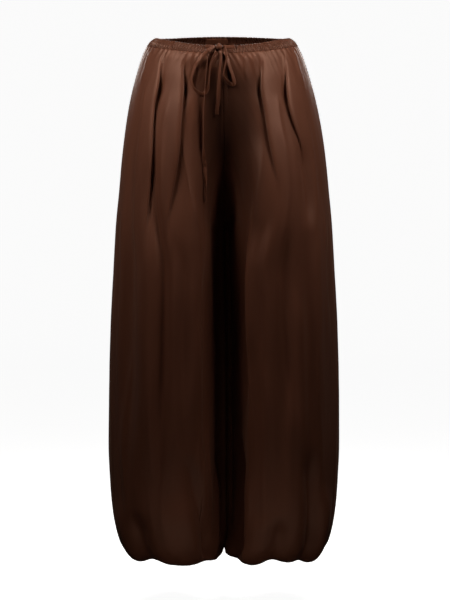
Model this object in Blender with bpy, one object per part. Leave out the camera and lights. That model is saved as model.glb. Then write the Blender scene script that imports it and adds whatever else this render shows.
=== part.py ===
"""Loose balloon trousers in satin, standing filled out as if worn, hollow and open at waist and ankles.

Front is -Y, up is +Z, and the origin is the middle of the waistband ring. Tables are in millimetres and
hold one leg, on the +X side; the other is its mirror with folds of its own.
"""

import bpy
import numpy as np

MM = 0.001
CLOTH_WALL = 1.5
BAND_WALL = 2.2
SEAM_GAP = 0.3
SIDE_LEFT, SIDE_RIGHT = 1.0, -1.0

# Cloth sections: one leg as an oval between inner and outer, front and back of the leg's middle.
# Above the crotch inner is negative and the panels stop at the middle plane.
# full squares the inner front quarter (2 is an oval), and valley rounds the groove at the middle seam.
# Between narrow and wide from the middle, the front falls back to the share floor: the trough between the legs.
SECTION_NAMES = (
    "drop", "height", "inner", "outer", "front", "back", "full", "valley", "floor", "narrow", "wide",
)
SECTIONS = (
    (0, -9, -147, 147, 106, 104, 2.0, 0, 1.00, 0, 70),
    (21, -28, -150, 156, 111, 107, 2.0, 3, 1.00, 0, 72),
    (52, -58, -136, 166, 117, 115, 2.0, 8, 0.95, 0, 76),
    (104, -110, -110, 180, 124, 127, 2.05, 13, 0.85, 0, 82),
    (164, -170, -80, 191, 129, 137, 2.15, 11, 0.70, 0, 84),
    (224, -230, -48, 199, 132, 141, 2.3, 8, 0.50, 2, 76),
    (284, -290, -20, 205, 134, 140, 2.5, 5, 0.32, 4, 64),
    (334, -340, -4, 210, 136, 137, 2.6, 2, 0.20, 6, 54),
    (359, -365, 1, 212, 137, 136, 2.6, 0, 0.17, 7, 50),
    (444, -450, 1, 217, 140, 134, 2.6, 0, 0.12, 8, 46),
    (554, -560, 1, 223, 143, 132, 2.6, 0, 0.10, 8, 44),
    (674, -680, 1, 226, 146, 134, 2.6, 0, 0.10, 8, 42),
    (774, -780, 1, 227, 148, 138, 2.6, 0, 0.10, 8, 42),
    (854, -860, 1, 224, 148, 140, 2.6, 0, 0.10, 8, 42),
    (914, -920, 1, 219, 146, 139, 2.5, 0, 0.12, 8, 42),
    (966, -972, 1.2, 208, 138, 131, 2.4, 0, 0.35, 7, 42),
    (985, -991, 1.2, 198, 131, 124, 2.3, 0, 0.60, 6, 42),
    (1000, -1003, 2.5, 187, 119, 112, 2.3, 0, 0.80, 6, 42),
    (1014, -1008, 12, 176, 102, 96, 2.1, 0, 0.95, 6, 42),
    (1028, -1006, 30, 168, 83, 79, 2.0, 0, 1.00, 6, 42),
    (1042, -997, 48, 165, 65, 63, 2.0, 0, 1.00, 6, 42),
    (1056, -985, 60, 164, 53, 53, 2.0, 0, 1.00, 6, 42),
)
CUFF_DROP, CROTCH_DROP = 1056.0, 359.0

# Drops between which shares of the way round are measured, passing over the fork's sudden extra width.
GIRTH_DROPS = (0, 52, 104, 164, 224, 284, 444, 674, 914, 985, 1014, 1042, 1056)

# The inner sides of the legs press into each other in a shallow S, so no light shows between them, and the
# trough between them leans to the wearer's left on its way down.
PRESS_DEPTH, PRESS_LENGTH, PRESS_REACH = 6.0, 60.0, 70.0
LEAN, LEAN_REACH = 8.0, 90.0

# The waist dips in front, rises behind and sits a little to the wearer's right.
WAIST_DIP, WAIST_RISE, WAIST_SHIFT = 17.5, 9.0, -3.0
WAIST_FADE = (0.0, 230.0)

# Waistband: top edge as an ellipse, and how far it dips and rises.
BAND_TOP = {"height": 7.0, "side": 128.0, "front": 92.0, "back": 90.0, "dip": 18.5, "rise": 9.0}
BAND_GATHERS = 96
BAND_GATHER_DEPTH = 0.9
BAND_FLAT = (-32.0, 20.0)
BAND_ROWS = 4

# Hem bands: the cloth's inner end runs up into a ring that holds the ankle opening.
CUFF_WIDTH = 20.0
CUFF_CENTRE, CUFF_RADIUS_TOP = 112.0, 50.0
CUFF_WALL = 2.2
CUFF_COLUMNS = 26

# Knife pleats on each front: how far from the middle the fold edge runs at these drops. The outer layer
# laps over the inner one, which steps back by most of the height.
PLEAT_DROPS = (0, 60, 120, 200, 300, 420, 620, 850, 1056)
PLEAT_NAMES = ("side", "from_middle", "height", "lap", "opens", "ends", "inner_fade")
PLEATS = (
    (SIDE_RIGHT, (112, 122.5, 134.5, 139, 146.5, 148, 164, 175, 145), 10.5, 3.5, 55, 400, 58),
    (SIDE_RIGHT, (72, 77.5, 82, 88, 102, 112, 104, 90, 85), 12.0, 4.0, 50, 390, 60),
    (SIDE_LEFT, (116, 123.5, 130, 150, 165, 168, 171, 176, 145), 11.0, 3.5, 60, 270, 58),
    (SIDE_LEFT, (74, 75.5, 82.5, 91.5, 104, 112, 106, 92, 85), 12.0, 4.0, 55, 310, 60),
)
PLEAT_REACH, PLEAT_CURL = 7.0, 0.17
PLEAT_OUTER_FADE, PLEAT_LIFT = 40.0, 0.15

# Soft folds: ridges (+) and troughs (-) of the cloth.
FOLD_NAMES = ("panel", "top", "bottom", "around_top", "around_bottom", "width", "height")
FRONT_R, FRONT_L, BACK_R, BACK_L = (SIDE_RIGHT, False), (SIDE_LEFT, False), (SIDE_RIGHT, True), (SIDE_LEFT, True)
FOLDS = (
    (FRONT_R, 300, 860, 0.395, 0.417, 14, 9),
    (FRONT_R, 330, 900, 0.530, 0.542, 12, 9),
    (FRONT_R, 380, 800, 0.620, 0.630, 12, 6),
    (FRONT_R, 120, 860, 0.270, 0.310, 14, -9),
    (FRONT_R, 170, 840, 0.490, 0.480, 9, -12),
    (FRONT_R, 340, 720, 0.570, 0.578, 9, -7.5),
    (FRONT_R, 380, 860, 0.740, 0.700, 20, -12),
    (FRONT_R, 780, 1030, 0.610, 0.730, 13, -15),
    (FRONT_R, 800, 1030, 0.900, 0.800, 14, 10),
    (FRONT_R, 890, 1045, 0.340, 0.330, 16, -11),
    (FRONT_R, 870, 1045, 0.220, 0.220, 20, 5),
    (FRONT_R, 860, 1045, 0.550, 0.550, 26, 6),
    (FRONT_L, 250, 860, 0.605, 0.565, 14, 9),
    (FRONT_L, 350, 620, 0.655, 0.660, 12, 6),
    (FRONT_L, 420, 830, 0.417, 0.422, 16, 7.5),
    (FRONT_L, 250, 860, 0.296, 0.325, 14, 7.5),
    (FRONT_L, 220, 760, 0.850, 0.750, 16, -12),
    (FRONT_L, 300, 640, 0.640, 0.605, 8, -6),
    (FRONT_L, 330, 740, 0.495, 0.470, 10, -9),
    (FRONT_L, 180, 360, 0.415, 0.370, 10, -7.5),
    (FRONT_L, 300, 800, 0.360, 0.371, 11, -6),
    (FRONT_L, 740, 1035, 0.880, 0.800, 20, -17.5),
    (FRONT_L, 800, 1035, 0.745, 0.690, 14, 5),
    (FRONT_L, 760, 1045, 0.385, 0.290, 12, -15),
    (FRONT_L, 840, 1045, 0.255, 0.220, 14, 9),
    (FRONT_L, 900, 1045, 0.510, 0.510, 14, -10),
    (FRONT_L, 890, 1045, 0.610, 0.640, 20, 5),
    (BACK_R, 30, 560, 0.160, 0.200, 13, 5),
    (BACK_R, 60, 800, 0.290, 0.300, 12, -6),
    (BACK_R, 24, 620, 0.430, 0.400, 14, 6),
    (BACK_R, 110, 840, 0.520, 0.500, 11, -6),
    (BACK_R, 60, 700, 0.640, 0.600, 15, 6),
    (BACK_R, 260, 900, 0.740, 0.700, 12, -7),
    (BACK_R, 620, 1040, 0.200, 0.240, 15, -8),
    (BACK_R, 700, 1045, 0.380, 0.360, 18, 7),
    (BACK_R, 760, 1040, 0.520, 0.500, 13, -9),
    (BACK_R, 800, 1045, 0.660, 0.640, 17, 6),
    (BACK_R, 780, 1035, 0.800, 0.780, 13, -8),
    (BACK_L, 24, 640, 0.140, 0.180, 14, 5),
    (BACK_L, 90, 760, 0.260, 0.250, 11, -5),
    (BACK_L, 40, 700, 0.360, 0.380, 13, 6),
    (BACK_L, 120, 860, 0.470, 0.480, 12, -7),
    (BACK_L, 30, 560, 0.590, 0.570, 14, 5),
    (BACK_L, 200, 880, 0.690, 0.680, 12, -6),
    (BACK_L, 600, 1045, 0.310, 0.290, 17, 7),
    (BACK_L, 720, 1040, 0.180, 0.180, 14, -7),
    (BACK_L, 740, 1040, 0.430, 0.420, 13, -9),
    (BACK_L, 790, 1045, 0.570, 0.590, 18, 7),
    (BACK_L, 760, 1035, 0.750, 0.740, 14, -9),
)

# Rows and columns of the finished panels.
ROW_DROPS = (0.3, 10, 24, 42, 62, 84, 108, 136, 168, 204, 244, 290, 332, 350, 368, 420, 500, 590, 680,
             760, 830, 890, 935, 966, 985, 1000, 1014, 1028, 1042, 1055.7)
FRONT_COLUMNS = (4, 9, 4, 9, 8)
BACK_COLUMNS = 17

# Ties: flat strips. x and z are as seen from the front, out is how far the strip's middle stands off
# the cloth, and turn is 0 with its face to the front and 90 with its edge to the front.
TIE_WIDTH, TIE_THICK = 7.0, 1.2
TIE_STEPS = 3
KNOT = {"x": -9.7, "y": -107.8, "z": -15.2, "half": (6.6, 5.6, 5.6), "corner": 0.55}
TIES = {
    "tie_lead_right": (5, ((-16.7, -15.2, 2.0, 0), (-26.0, -14.6, 1.4, 0), (-35.0, -13.9, 1.2, 0))),
    "tie_lead_left": (5, ((-2.9, -15.2, 2.0, 0), (9.0, -15.2, 1.4, 0), (20.0, -14.6, 1.2, 0))),
    "tie_loop_right": (34, (
        (-17.9, -15.0, 8.2, 15), (-21.0, -15.8, 8.4, 10), (-24.0, -17.5, 10.5, 5), (-30.0, -22.5, 11.0, 0),
        (-36.5, -28.0, 10.0, 10), (-45.0, -37.0, 7.5, 25), (-52.1, -46.4, 5.5, 35), (-59.3, -64.4, 4.8, 55),
        (-62.2, -78.8, 4.8, 60), (-58.6, -91.8, 4.4, 50), (-50.5, -100.5, 3.0, 30), (-42.0, -104.5, 2.0, 8),
        (-35.0, -102.0, 1.6, 4), (-30.5, -93.0, 2.4, 30), (-29.0, -82.0, 4.0, 60), (-27.4, -65.0, 4.4, 65),
        (-24.4, -45.0, 4.4, 65), (-19.0, -32.0, 4.5, 62), (-16.0, -26.6, 3.9, 50), (-14.4, -23.6, 3.4, 38))),
    "tie_tail_long": (40, (
        (-16.9, -17.2, 3.6, 0), (-20.5, -18.3, 3.8, 0), (-24.5, -20.4, 4.4, 10), (-29.5, -26.0, 4.6, 50),
        (-31.3, -40.0, 4.6, 88), (-32.8, -54.0, 4.6, 90), (-35.2, -80.0, 5.5, 90), (-36.8, -100.0, 7.6, 90),
        (-37.6, -113.0, 6.6, 90), (-39.0, -148.5, 4.6, 90), (-39.0, -195.0, 4.6, 85), (-38.6, -217.0, 4.0, 45),
        (-37.0, -236.0, 3.6, 5), (-35.6, -262.0, 3.8, 5), (-35.3, -277.0, 4.0, 60), (-34.4, -309.0, 4.6, 85))),
    "tie_loop_left": (32, (
        (-2.0, -15.2, 8.6, 40), (1.0, -16.8, 8.6, 45), (3.4, -23.0, 9.0, 45), (4.6, -30.0, 9.4, 50),
        (5.2, -36.0, 9.0, 60), (3.5, -46.0, 8.0, 65), (1.2, -56.0, 6.5, 68), (-0.8, -64.0, 5.2, 66),
        (-1.2, -70.0, 4.8, 60), (2.4, -76.0, 4.4, 50), (7.0, -81.5, 4.0, 40), (12.5, -86.0, 3.0, 20),
        (17.5, -87.0, 2.4, 5), (19.6, -82.0, 2.4, 10), (17.0, -71.0, 2.6, 25), (13.2, -60.0, 2.6, 30),
        (9.8, -50.0, 2.6, 30), (7.2, -40.0, 2.6, 30), (4.2, -31.0, 2.6, 30), (0.8, -24.5, 2.6, 30))),
    "tie_tail_short": (18, (
        (-7.2, -21.6, 1.8, 10), (-6.2, -28.0, 3.6, 40), (-5.2, -36.0, 4.4, 62), (-6.8, -50.0, 4.6, 60),
        (-7.8, -62.0, 4.4, 55), (-8.6, -71.5, 4.2, 45), (-10.0, -98.0, 3.0, 15), (-10.9, -116.0, 2.4, 5),
        (-13.0, -133.7, 2.2, 5), (-13.7, -143.2, 2.2, 0))),
}

LABEL = {"x": -15.0, "half_width": 24.0, "height": 14.0, "thick": 0.8}


def smooth(table_x, table_y, x):
    """Values of a table at x by a curve that has no overshoot between its rows."""
    tx, ty = np.asarray(table_x, float), np.asarray(table_y, float)
    step, rise = np.diff(tx), np.diff(ty) / np.diff(tx)
    slope = np.zeros(len(tx))
    same = rise[:-1] * rise[1:] > 0
    w1, w2 = 2 * step[1:] + step[:-1], step[1:] + 2 * step[:-1]
    safe = np.where(same, rise[:-1], 1.0), np.where(same, rise[1:], 1.0)
    slope[1:-1] = np.where(same, (w1 + w2) / (w1 / safe[0] + w2 / safe[1]), 0.0)
    slope[0], slope[-1] = rise[0], rise[-1]
    x = np.clip(np.asarray(x, float), tx[0], tx[-1])
    i = np.clip(np.searchsorted(tx, x, side="right") - 1, 0, len(step) - 1)
    u = (x - tx[i]) / step[i]
    h00, h10 = (1 + 2 * u) * (1 - u) ** 2, u * (1 - u) ** 2
    h01, h11 = u * u * (3 - 2 * u), u * u * (u - 1)
    return h00 * ty[i] + h10 * step[i] * slope[i] + h01 * ty[i + 1] + h11 * step[i] * slope[i + 1]


def ease(x, start, end):
    """0 before start, 1 after end, smooth between."""
    u = np.clip((np.asarray(x, float) - start) / (end - start), 0.0, 1.0)
    return u * u * (3 - 2 * u)


def section(drop):
    """The section table at the drops given, by column name."""
    columns = list(zip(*SECTIONS))
    return {name: smooth(columns[0], columns[k], drop) for k, name in enumerate(SECTION_NAMES)}


def waist_lift(drop, share, back):
    """How the waist's dip and rise move a point, share being its depth over the section's depth."""
    fade = 1.0 - ease(drop, *WAIST_FADE)
    return fade * (WAIST_RISE if back else -WAIST_DIP) * share**2


def ring(drop, back, count, plain=False):
    """One section of a panel, from side seam to middle or inside seam, as evenly spaced points."""
    s = {name: float(value) for name, value in section(drop).items()}
    phi = np.linspace(0.0, np.pi, 1441)
    middle, half = (s["inner"] + s["outer"]) / 2, (s["outer"] - s["inner"]) / 2
    x = middle + half * np.cos(phi)
    rounded = x + s["valley"] * np.exp(-np.maximum(x, 0) / s["valley"]) if s["valley"] > 0.05 else x
    cosine = np.clip((rounded - middle) / half, -1.0, 1.0)
    sine = np.sqrt(1.0 - cosine**2)
    share = sine
    if not (back or plain):
        square = (1.0 - np.abs(cosine) ** s["full"]) ** (1.0 / s["full"])
        trough = s["floor"] + (1.0 - s["floor"]) * ease(x, s["narrow"], s["wide"])
        share = np.where(cosine < 0, square, sine) * trough
    depth = s["back"] if back else s["front"]
    y = depth * share
    clear = np.minimum(x, y) - SEAM_GAP / 2
    inside = np.flatnonzero(clear > 0)
    first, last = inside[0], inside[-1]
    points = [(x[k], y[k], share[k]) for k in range(first, last + 1)]
    for a, b, at in ((first - 1, first, 0), (last + 1, last, len(points) + 1)):
        if 0 <= a < len(x):
            u = clear[a] / (clear[a] - clear[b])
            cut = tuple(p[a] + (p[b] - p[a]) * u for p in (x, y, share))
            points.insert(at, cut)
    points = np.array(points)
    height = s["height"] + waist_lift(drop, points[:, 2], back)
    line = np.column_stack([points[:, 0], points[:, 1] * (1 if back else -1), height])
    along = np.concatenate([[0], np.cumsum(np.linalg.norm(np.diff(line, axis=0), axis=1))])
    at = np.linspace(0, along[-1], count)
    return np.column_stack([np.interp(at, along, line[:, k]) for k in range(3)]), along[-1]


def normals_of(grid, flip):
    """Unit normals of a grid of points, pointing out of the cloth's face."""
    across = np.gradient(grid, axis=1)
    down = np.gradient(grid, axis=0)
    normal = np.cross(across, down) * flip
    return normal / np.maximum(np.linalg.norm(normal, axis=2, keepdims=True), 1e-12)


def girth_measure(drops, back):
    """The panel's width at each drop without the trough, smoothed across the fork: folds are placed by it."""
    return smooth(GIRTH_DROPS, [ring(d, back, 3, True)[1] for d in GIRTH_DROPS], drops)


def base_panel(drops, back, count=241):
    """The panel without folds: points, normals and girth for each drop."""
    rings = [ring(d, back, count) for d in drops]
    grid = np.array([r[0] for r in rings])
    return grid, normals_of(grid, -1.0 if back else 1.0), np.array([r[1] for r in rings])


def pleat_rows(side, back):
    return [] if back else [dict(zip(PLEAT_NAMES, row)) for row in PLEATS if row[0] == side]


def pleat_lines(pleats, drops, grid, girth):
    """How far from the side seam each pleat's edge runs, at each drop."""
    along = np.linspace(0.0, 1.0, grid.shape[1])
    lines = []
    for pleat in pleats:
        places = smooth(PLEAT_DROPS, pleat["from_middle"], drops)
        lines.append(np.array([np.interp(-x, -row[:, 0], along) for x, row in zip(places, grid)]) * girth)
    return lines


def pleat_shift(arc, drops, lines, pleats):
    """How knife pleats move the cloth along itself and out of itself."""
    along, out = np.zeros_like(arc), np.zeros_like(arc)
    for pleat, line in zip(pleats, lines):
        rise = ease(drops, pleat["opens"] - 45, pleat["opens"] + 35)
        fall = 1.0 - ease(drops, pleat["ends"] - 150, pleat["ends"])
        q = (arc - line[:, None]) / PLEAT_REACH
        curl = (pleat["lap"] + PLEAT_REACH / 2) * (rise * fall)[:, None]
        along += np.where(np.abs(q) < 1, curl * np.sin(-np.pi * np.clip(q, -1, 1)), 0.0)
        inside = np.clip(q, -1, 1)
        step = 0.5 + 0.5 * (inside - PLEAT_CURL * np.sin(2 * np.pi * inside))
        over = (np.abs(q) - 1).clip(0) * PLEAT_REACH
        low = (rise * fall + 0.25 * ease(drops, 0, 40) * (1 - rise))[:, None]
        above = PLEAT_LIFT * (1 - step) * np.exp(-((over / PLEAT_OUTER_FADE) ** 2))
        below = (1 - PLEAT_LIFT) * step * np.exp(-((over / pleat["inner_fade"]) ** 2))
        out += low * pleat["height"] * (above - below)
    return along, out


def fold_shift(arc, drops, measure, side, back):
    """Ridges and troughs of the cloth, from the fold table."""
    out = np.zeros_like(arc)
    for row in FOLDS:
        fold = dict(zip(FOLD_NAMES, row))
        if fold["panel"] != (side, back):
            continue
        u = (drops - fold["top"]) / (fold["bottom"] - fold["top"])
        taper = ease(u, 0.0, 0.3) * (1.0 - ease(u, 0.7, 1.0))
        place = fold["around_top"] + (fold["around_bottom"] - fold["around_top"]) * u
        gap = (arc - (place * measure)[:, None]) / fold["width"]
        out += fold["height"] * taper[:, None] * np.exp(-0.5 * gap**2)
    return out


def seam_window(arc, girth, width=14.0):
    """0 on a panel's side edges and 1 away from them."""
    return ease(arc, 0.0, width) * ease(girth[:, None] - arc, 0.0, width)


def column_arcs(drops, girth, measure, lines, counts):
    """Where the columns stand at each drop, as distances from the side seam, close together along pleats."""
    if not lines:
        return np.linspace(0, 1, counts + 1)[None, :] * girth[:, None]
    wide = np.maximum(PLEAT_REACH, 0.08 * measure * ease(drops, 380, 760))
    knots = [np.zeros(len(drops))]
    for line in lines:
        knots += [line - wide, line + wide]
    knots.append(girth)
    parts = []
    for k, count in enumerate(counts):
        u = np.linspace(0, 1, count + 1)[: None if k == len(counts) - 1 else -1]
        parts.append(knots[k][:, None] * (1 - u) + knots[k + 1][:, None] * u)
    return np.concatenate(parts, axis=1)


def panel_grid(drops, side, back, counts):
    """A panel with its pleats and folds: points and normals, in the +X leg's space."""
    drops = np.asarray(drops, float)
    grid, normal, girth = base_panel(drops, back, 481)
    measure = girth_measure(drops, back)
    pleats = pleat_rows(side, back)
    lines = pleat_lines(pleats, drops, grid, girth)
    arc = column_arcs(drops, girth, measure, lines, counts)
    along, out = pleat_shift(arc, drops, lines, pleats)
    out = out + fold_shift(arc, drops, measure, side, back)
    edge = seam_window(arc, girth)
    ends = ease(drops, 0, 12) * (1 - ease(drops, CUFF_DROP - 14, CUFF_DROP))
    out = out * edge * ends[:, None]
    at = np.clip((arc + along * edge) / girth[:, None], 0, 1) * (grid.shape[1] - 1)
    i = np.minimum(at.astype(int), grid.shape[1] - 2)
    u = (at - i)[..., None]
    rows = np.arange(len(drops))[:, None]
    points = grid[rows, i] * (1 - u) + grid[rows, i + 1] * u
    outward = normal[rows, i] * (1 - u) + normal[rows, i + 1] * u
    points = points + outward * out[..., None]
    return points, normals_of(points, -1.0 if back else 1.0)


def keep_clear(points, back, drops):
    """Keeps a panel's points on their own side of the middle plane and of its seams."""
    half = SEAM_GAP / 2
    points[..., 0] = np.maximum(points[..., 0], half)
    below = np.asarray(drops) > CROTCH_DROP + 4
    points[below, :, 0] = np.maximum(points[below, :, 0], 0.9)
    for column in (0, -1):
        y = points[:, column, 1]
        points[:, column, 1] = np.maximum(y, half) if back else np.minimum(y, -half)
    return points


def placed(points, side):
    """From the +X leg's space to where the panel stands."""
    out = np.array(points)
    out[..., 0] *= side
    shift = WAIST_SHIFT * (1.0 - ease(-points[..., 2], 0.0, 300.0))
    press = ease(-points[..., 2], 345.0, 366.0) * (1 - ease(-points[..., 2], 985.0, 1006.0))
    near = np.exp(-((points[..., 0] / PRESS_REACH) ** 2)) * np.exp(-((points[..., 1] / 75.0) ** 2))
    press = press * PRESS_DEPTH * near * np.sin(np.pi * points[..., 1] / PRESS_LENGTH)
    lean = LEAN * ease(-points[..., 2], 200.0, 700.0) * (1 - ease(-points[..., 2], 960.0, 1004.0))
    out[..., 0] += shift + press + lean * np.exp(-((points[..., 0] / LEAN_REACH) ** 2))
    return out * MM


def wall_faces(outer, index, wrap):
    """Triangles of a grid and, the other way round, of the grid behind it, both split along one diagonal."""
    n = outer.shape[0] * outer.shape[1]
    rows, columns = index.shape
    faces = []
    for r in range(rows - 1):
        for c in range(columns if wrap else columns - 1):
            k = (c + 1) % columns
            a, b, d, e = index[r, c], index[r, k], index[r + 1, k], index[r + 1, c]
            falling = np.linalg.norm(outer[r, c] - outer[r + 1, k])
            rising = np.linalg.norm(outer[r, k] - outer[r + 1, c])
            halves = [(a, b, d), (a, d, e)] if falling < rising else [(a, b, e), (b, d, e)]
            for half in halves:
                faces.append(half)
                faces.append(tuple(v + n for v in half[::-1]))
    return faces


def shell(name, outer, inner, material):
    """A closed wall between two grids of the same size."""
    rows, columns = outer.shape[:2]
    verts = np.concatenate([outer.reshape(-1, 3), inner.reshape(-1, 3)])
    n = rows * columns
    index = np.arange(n).reshape(rows, columns)
    faces = wall_faces(outer, index, False)
    edge = [index[0, c] for c in range(columns)] + [index[r, -1] for r in range(1, rows)]
    edge += [index[-1, c] for c in range(columns - 2, -1, -1)] + [index[r, 0] for r in range(rows - 2, 0, -1)]
    for a, b in zip(edge, edge[1:] + edge[:1]):
        faces += [(b, a, a + n), (b, a + n, b + n)]
    return solid(name, verts, faces, material)


def closed_ring(name, outer, inner, material):
    """A closed wall between two grids whose columns run all the way round."""
    rows, columns = outer.shape[:2]
    verts = np.concatenate([outer.reshape(-1, 3), inner.reshape(-1, 3)])
    n = rows * columns
    index = np.arange(n).reshape(rows, columns)
    faces = wall_faces(outer, index, True)
    for c in range(columns):
        d = (c + 1) % columns
        faces += [(d, c, c + n), (d, c + n, d + n)]
        last = (rows - 1) * columns
        faces += [(last + c, last + d, last + d + n), (last + c, last + d + n, last + c + n)]
    return solid(name, verts, faces, material)


def signed_volume(verts, faces):
    total = 0.0
    for f in faces:
        for k in range(1, len(f) - 1):
            total += float(np.dot(verts[f[0]], np.cross(verts[f[k]], verts[f[k + 1]])))
    return total / 6


def solid(name, verts, faces, material):
    """A named object from points in metres, with its faces turned outward."""
    verts = np.asarray(verts, float)
    if signed_volume(verts, faces) < 0:
        faces = [f[::-1] for f in faces]
    mesh = bpy.data.meshes.new(name)
    mesh.from_pydata([tuple(v) for v in verts], [], [tuple(int(k) for k in f) for f in faces])
    for p in mesh.polygons:
        p.use_smooth = False
    mesh.materials.append(material)
    mesh.validate()
    obj = bpy.data.objects.new(name, mesh)
    bpy.context.scene.collection.objects.link(obj)
    return obj


def cloth_material(name, colour, roughness):
    material = bpy.data.materials.new(name)
    material.use_nodes = True
    shader = material.node_tree.nodes["Principled BSDF"]
    shader.inputs["Base Color"].default_value = (*colour, 1.0)
    shader.inputs["Roughness"].default_value = roughness
    return material


def make_panel(name, side, back, material):
    """One panel as a wall of cloth."""
    points, normal = fine_rows(side, back)
    inner = points - normal * CLOTH_WALL
    points, inner = (keep_clear(p, back, ROW_DROPS) for p in (points, inner))
    return shell(name, placed(points, side), placed(inner, side), material)


def fine_rows(side, back):
    """The panel at its rows, with normals taken from closer rows and columns than the mesh has."""
    fine = BACK_COLUMNS * 4 if back else [c * 4 for c in FRONT_COLUMNS]
    near = np.array([(max(d - 2.0, 0.1), d, min(d + 2.0, CUFF_DROP - 0.1)) for d in ROW_DROPS]).reshape(-1)
    points, _ = panel_grid(near, side, back, fine)
    across = np.gradient(points, axis=1)[1::3]
    down = points[2::3] - points[0::3]
    normal = np.cross(across, down) * (-1.0 if back else 1.0)
    normal /= np.linalg.norm(normal, axis=2, keepdims=True)
    return points[1::3, ::4].copy(), normal[:, ::4]


def band_profile(phi):
    """The waistband's top and bottom edges and the cloth's outward direction, at angles round the waist.

    phi is 0 at the +X side, 90 degrees at the back and 270 in front.
    """
    s = section(0.0)
    back = np.sin(phi) > 0
    depth = np.where(back, s["back"], s["front"])
    share = np.abs(np.sin(phi))
    lift = np.where(back, WAIST_RISE, -WAIST_DIP) * share**2
    bottom = np.column_stack([s["outer"] * np.cos(phi), depth * np.sin(phi), s["height"] + lift])
    deep = np.where(back, BAND_TOP["back"], BAND_TOP["front"])
    rise = np.where(back, BAND_TOP["rise"], -BAND_TOP["dip"]) * share**2
    top = np.column_stack([BAND_TOP["side"] * np.cos(phi), deep * np.sin(phi), BAND_TOP["height"] + rise])
    return top, bottom


def even_angles(count):
    """Angles that space points evenly round the waistband's bottom edge."""
    phi = np.linspace(0, 2 * np.pi, 2881)
    _, bottom = band_profile(phi)
    along = np.concatenate([[0], np.cumsum(np.linalg.norm(np.diff(bottom, axis=0), axis=1))])
    return np.interp(np.arange(count) / count * along[-1], along, phi)


def panel_direction(phi):
    """The panels' outward direction at the waist seam, at angles round the waist."""
    out = np.zeros((len(phi), 3))
    for back in (False, True):
        grid, normal, _ = base_panel([0.1, 2.0], back)
        angle = np.arctan2(grid[0, :, 1] / section(0.0)["back" if back else "front"], grid[0, :, 0] / 147.0)
        for side in (1, -1):
            here = np.flatnonzero(((np.sin(phi) > 0) == back) & ((np.cos(phi) >= 0) == (side > 0)))
            a = np.arctan2(np.sin(phi[here]), np.abs(np.cos(phi[here])))
            order = np.argsort(angle)
            for k in range(3):
                out[here, k] = np.interp(a, angle[order], normal[0, order, k]) * (side if k == 0 else 1)
    return out / np.linalg.norm(out, axis=1, keepdims=True)


def make_waistband(material):
    count = BAND_GATHERS * 2
    phi = even_angles(count)
    top, bottom = band_profile(phi)
    seam = panel_direction(phi)
    down = (bottom - top) / np.linalg.norm(bottom - top, axis=1, keepdims=True)
    around = np.roll(top, -1, axis=0) - np.roll(top, 1, axis=0)
    face = np.cross(around, down)
    face /= np.linalg.norm(face, axis=1, keepdims=True)
    face *= np.sign((face * seam).sum(1))[:, None]
    flat = (np.sin(phi) < 0) & (bottom[:, 0] > BAND_FLAT[0]) & (bottom[:, 0] < BAND_FLAT[1])
    pucker = np.where(np.arange(count) % 2 == 0, 1.0, -1.0) * np.where(flat, 0.0, BAND_GATHER_DEPTH)
    outer, inner = [], []
    for r in range(BAND_ROWS):
        u = r / (BAND_ROWS - 1)
        puff = 4 * u * (1 - u)
        direction = face * (1 - u) + seam * u
        direction /= np.linalg.norm(direction, axis=1, keepdims=True)
        line = top * (1 - u) + bottom * u + face * (1.6 * puff + pucker * puff)[:, None]
        outer.append(line)
        inner.append(line - direction * (BAND_WALL + (1.6 * puff + pucker * puff)[:, None]))
    outer, inner = (np.array(g) for g in (outer, inner))
    return closed_ring("waistband", placed(outer, 1), placed(inner, 1), material)


def make_cuff(name, side, material):
    """The ring that the cloth's inner end is gathered onto, running up inside the leg."""
    drops = np.array([CUFF_DROP - 2.0, CUFF_DROP - 0.1])
    outer_rows, inner_rows = [], []
    seam_points, seam_normal = [], []
    for back in (False, True):
        grid, _, _ = base_panel(drops, back)
        normal = normals_of(grid, -1.0 if back else 1.0)
        take = np.linspace(0, grid.shape[1] - 1, CUFF_COLUMNS // 2 + 1).astype(int)
        take = take[:-1] if not back else take[::-1][:-1]
        seam_points.append(grid[-1, take])
        seam_normal.append(normal[-1, take])
    seam_points, seam_normal = np.concatenate(seam_points), np.concatenate(seam_normal)
    middle = np.array([CUFF_CENTRE, 0.0, 0.0])
    radial = seam_points - middle
    radial[:, 2] = 0
    radial /= np.linalg.norm(radial, axis=1, keepdims=True)
    start = section(CUFF_DROP)["height"] + SEAM_GAP
    for u in (0.0, 0.35, 1.0):
        line = seam_points.copy()
        radius = np.linalg.norm((seam_points - middle)[:, :2], axis=1)
        radius = radius * (1 - u) + CUFF_RADIUS_TOP * u
        line[:, :2] = middle[:2] + radial[:, :2] * radius[:, None]
        line[:, 2] = start + CUFF_WIDTH * u
        direction = seam_normal * (1 - min(1, 3 * u)) - radial * min(1, 3 * u)
        direction /= np.linalg.norm(direction, axis=1, keepdims=True)
        outer_rows.append(line)
        inner_rows.append(line - direction * CUFF_WALL)
    return closed_ring(name, placed(np.array(outer_rows), side), placed(np.array(inner_rows), side), material)


def front_surface():
    """Points of both fronts and the waistband in millimetres, for hanging the ties clear of them."""
    clouds = []
    for side in (SIDE_LEFT, SIDE_RIGHT):
        points = placed(fine_rows(side, False)[0], side) / MM
        for u in np.linspace(0, 1, 13):
            rows = points[:-1] * (1 - u) + points[1:] * u
            for v in np.linspace(0, 1, 9):
                clouds.append((rows[:, :-1] * (1 - v) + rows[:, 1:] * v).reshape(-1, 3))
    phi = np.linspace(np.pi * 1.2, np.pi * 1.8, 400)
    top, bottom = band_profile(phi)
    for u in np.linspace(0, 1, 12):
        line = placed(top * (1 - u) + bottom * u, 1) / MM
        line[:, 1] -= 2.4 * 4 * u * (1 - u)
        clouds.append(line)
    return np.concatenate(clouds)


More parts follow.
